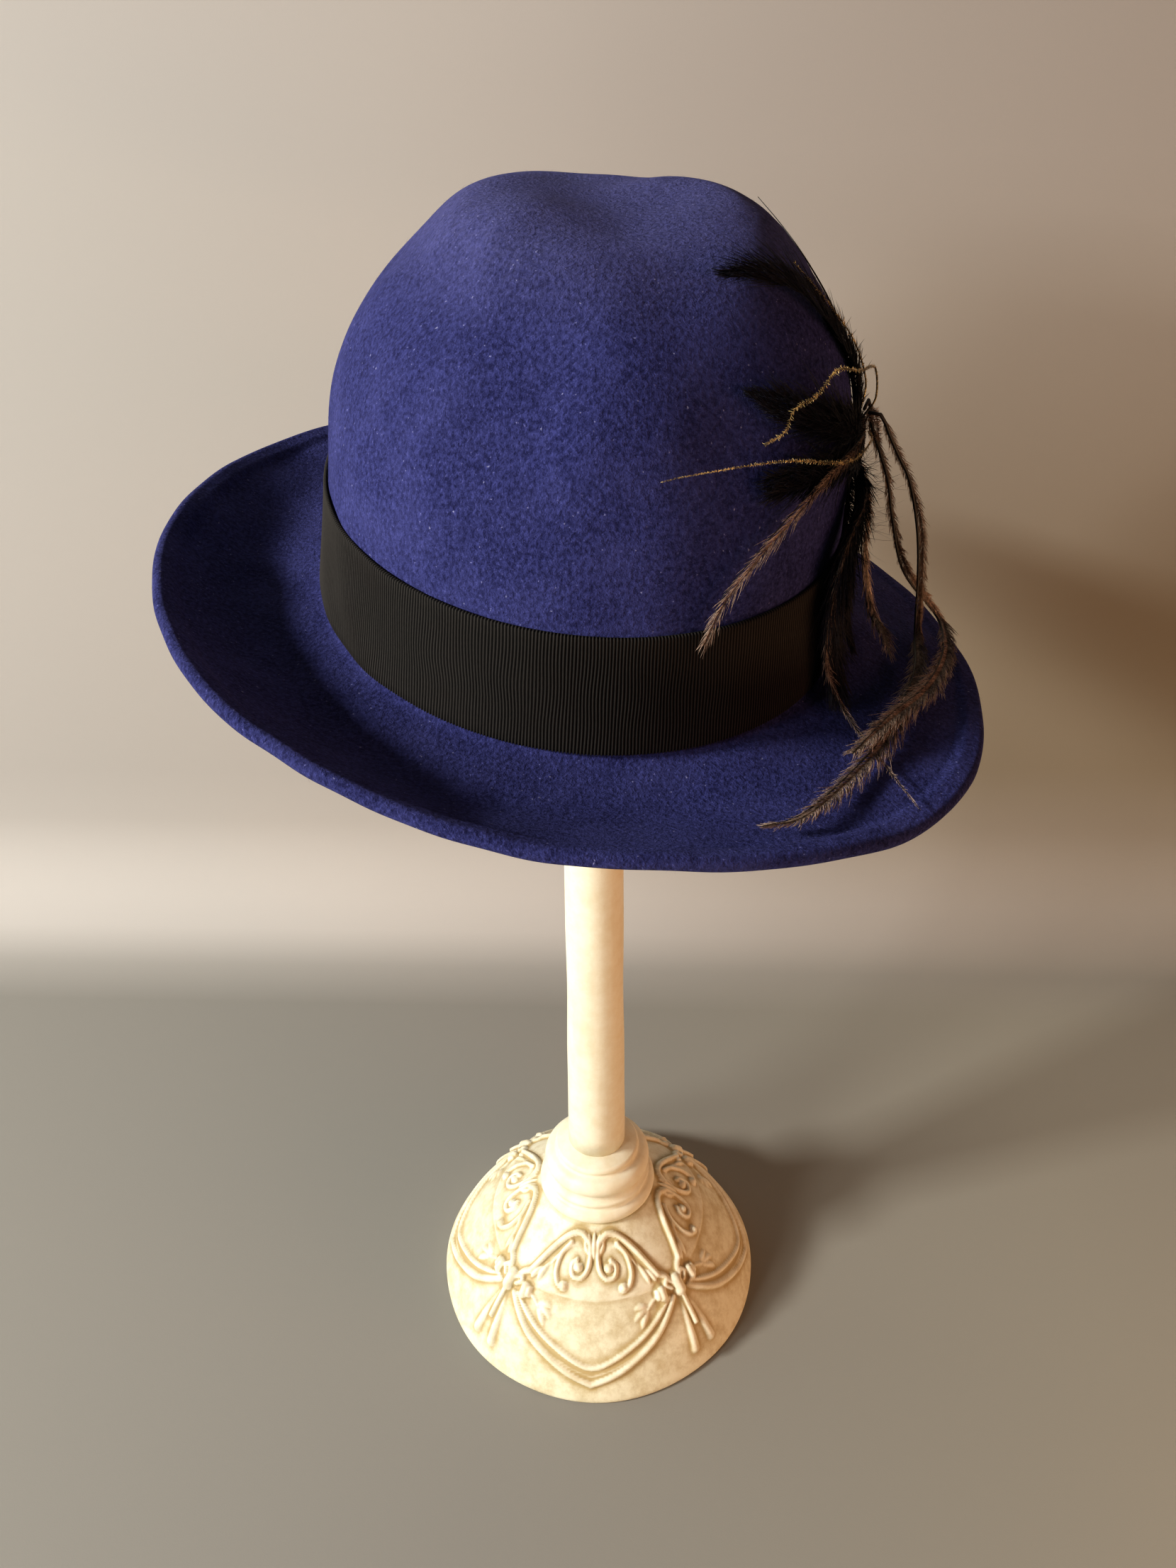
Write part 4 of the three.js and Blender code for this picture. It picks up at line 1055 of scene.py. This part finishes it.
def stroke_rise(turn, high, reach, points, half_wide, rise, shape="even"):
    """A soft bead: rise times one less the squared share of its half width, to a power."""
    places = np.linspace(0, len(points) - 1, 6 * len(points))
    line = rows_at(np.array(points, float), places, False)
    step = np.linspace(0, 1, len(line))
    across = np.radians(turn[..., None] - line[:, 0]) * reach[..., None]
    up = high[..., None] - climb_at(line[:, 1])
    across, up, next_across, next_up = across[..., :-1], up[..., :-1], across[..., 1:], up[..., 1:]
    wide, tall = across - next_across, up - next_up
    share = (across * wide + up * tall) / np.maximum(wide ** 2 + tall ** 2, 1e-9)
    share = np.clip(share, 0, 1)
    away = np.hypot(across - share * wide, up - share * tall)
    nearest = away.argmin(axis=-1)[..., None]
    away = np.take_along_axis(away, nearest, -1)[..., 0]
    gone = np.take_along_axis(step[:-1] + share * step[1], nearest, -1)[..., 0]
    swell = {"even": 1 + 0 * gone, "leaf": np.sin(np.pi * np.clip(gone, 0.03, 0.97)) ** 0.6,
             "tail": 0.45 + 0.55 * gone}[shape]
    bead = np.clip(1 - (away / (BEAD_SPREAD * half_wide * swell)) ** 2, 0, 1) ** BEAD_POWER
    return rise * bead * np.minimum(swell, 1)


climb = np.r_[0, np.cumsum(np.hypot(*np.diff(DOME, axis=0).T))]


def climb_at(height):
    """Length along the dome's outline up to a height."""
    return np.interp(height, DOME[:, 1], climb)


def soft_join(first, second, blur=0.8):
    """The larger of two heights, rounded where they cross."""
    share = np.clip(0.5 + 0.5 * (second - first) / blur, 0, 1)
    return first * (1 - share) + second * share + blur * share * (1 - share)


# %% Domed base
DOME_COLUMNS, DOME_ROWS = 800, 106
UPPER_STEP, UPPER_RISE, SUNK = (38.2, 39.6), 0.5, 0.2  # the dome stands out above the cord
WIDE_BLUR, FINE_BLUR, FULL_HOLLOW, FINE_SHARE, FULL_RAISE = 5, 2, 0.9, 0.25, 2.2
FOOT_SHRINK, TOP_SHRINK = 0.985, 0.9


def base_grid():
    """The dome's outline spun round, each point moved outward by the relief."""
    places = np.interp(np.linspace(0, climb[-1], DOME_ROWS), climb, np.arange(len(DOME)))
    rows = rows_at(DOME, places, False)
    columns = DOME_COLUMNS // MOTIFS
    turn, radius = np.meshgrid(np.linspace(0, 360 / MOTIFS, columns + 1), rows[:, 0])
    height = np.broadcast_to(rows[:, 1:2], turn.shape)
    relief = np.zeros_like(turn)
    for stroke in STROKES:
        relief = soft_join(relief, stroke_rise(turn, climb_at(height), radius, *stroke))
    relief = relief + UPPER_RISE * smooth_step(height, *UPPER_STEP) - SUNK
    mirrored_pair = np.concatenate([relief[:, :-1], relief[:, :0:-1]], axis=1)
    relief = np.tile(mirrored_pair, (1, MOTIFS // 2))
    slope = np.gradient(rows, axis=0)
    outward = unit(np.stack([slope[:, 1], -slope[:, 0]], axis=1))
    bearing = np.radians(CREST_BEARING) + np.arange(DOME_COLUMNS) / DOME_COLUMNS * 2 * np.pi
    wobble = 0.35 * np.sin(3 * bearing + 1) + 0.2 * np.sin(7 * bearing)
    far = rows[:, :1] + outward[:, :1] * relief + wobble * smooth_step(rows[:, 1:2], 60, 20)
    up = rows[:, 1:2] + outward[:, 1:] * relief
    return np.stack([far * np.cos(bearing), far * np.sin(bearing), up], axis=-1), relief


def blurred(field, reach):
    """The mean over a square of a field that goes round: sums of shifted copies."""
    rows, size = np.pad(field, ((reach, reach), (0, 0)), mode="edge"), 2 * reach + 1
    tall = sum(rows[i:i + len(field)] for i in range(size)) / size
    return sum(np.roll(tall, i, axis=1) for i in range(-reach, reach + 1)) / size


base_rings, relief = base_grid()
foot = base_rings[:1] * (FOOT_SHRINK, FOOT_SHRINK, 0)
top = base_rings[-1:] * (TOP_SHRINK, TOP_SHRINK, 1)
top_middle = np.zeros_like(top) + (0, 0, base_rings[-1, 0, 2])
base = np.concatenate([0 * foot, foot, base_rings, top, top_middle])
hollow = (blurred(relief, WIDE_BLUR) - relief) / FULL_HOLLOW
hollow = np.clip(hollow + FINE_SHARE * (blurred(relief, FINE_BLUR) - relief), 0, 1)
raised = np.clip(relief / FULL_RAISE, 0, 1)
mesh_piece("carved_base", base, grid_faces(base), stained_paint, "stand_paint", "stand_base",
           hollow=np.pad(hollow, ((2, 2), (0, 0))), raised=np.pad(raised, ((2, 2), (0, 0))))

# %% [markdown]
# The collar, the pole and the cap are plain turnings: an outline spun round the upright axis.

# %% Turned pieces
TURNED_COLUMNS = 96
POLE_FOOT, POLE_TAPER = 13.2, 3.2
CAP_RADIUS, CAP_SIDE, CAP_RISE = 34, 3, 9


def turned(name, node, outline):
    """Each outline point (radius, height) becomes a ring: radius times cosine and sine."""
    bearing = np.arange(TURNED_COLUMNS) / TURNED_COLUMNS * 2 * np.pi
    radius, height = np.array(outline, float)[:, :, None].transpose(1, 0, 2)
    rings = [radius * np.cos(bearing), radius * np.sin(bearing), height + 0 * bearing]
    rings = np.stack(rings, axis=-1)
    mesh_piece(name, rings, grid_faces(rings), paint, "stand_paint", node)


def foot_and_top(node):
    """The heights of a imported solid's ends, in millimetres."""
    return [corner[2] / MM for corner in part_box(node)]


def round_ring(radius, height, round_by, low, high=78):
    """Points of the round outside of a ring, from its underside to its top."""
    turn = np.radians(np.linspace(low, high, 12))
    return zip(radius + round_by * np.cos(turn), height + round_by * np.sin(turn))


foot, top = foot_and_top("stand_collar")
turned("collar", "stand_collar", [
    (0, foot), (25, foot), *round_ring(23.6, 64.4, 4.1, -72),
    *round_ring(23.4, 71.4, 1.6, -40, 60), *round_ring(19.3, 80.3, 5.6, -55),
    *round_ring(17.6, 88.4, 2.2, -45), (15.5, top), (0, top)])

foot, top = foot_and_top("stand_pole")
share = np.linspace(0, 1, 40)
uneven = 0.18 * np.sin(share * 19) + 0.1 * np.sin(share * 41 + 1)
pole_outline = zip(POLE_FOOT - POLE_TAPER * share + uneven, foot + share * (top - foot))
turned("pole", "stand_pole", [(0, foot), *pole_outline, (0, top)])

foot, top = foot_and_top("stand_cap")
turn = np.linspace(0, np.pi / 2, 16)[:-1]
cap_outline = zip(CAP_RADIUS * np.cos(turn), foot + CAP_SIDE + CAP_RISE * np.sin(turn))
turned("cap", "stand_cap", [(0, foot), (32, foot), *cap_outline, (0, top)])

# %% [markdown]
# ## Done

# %% The end
print("the scene is built")
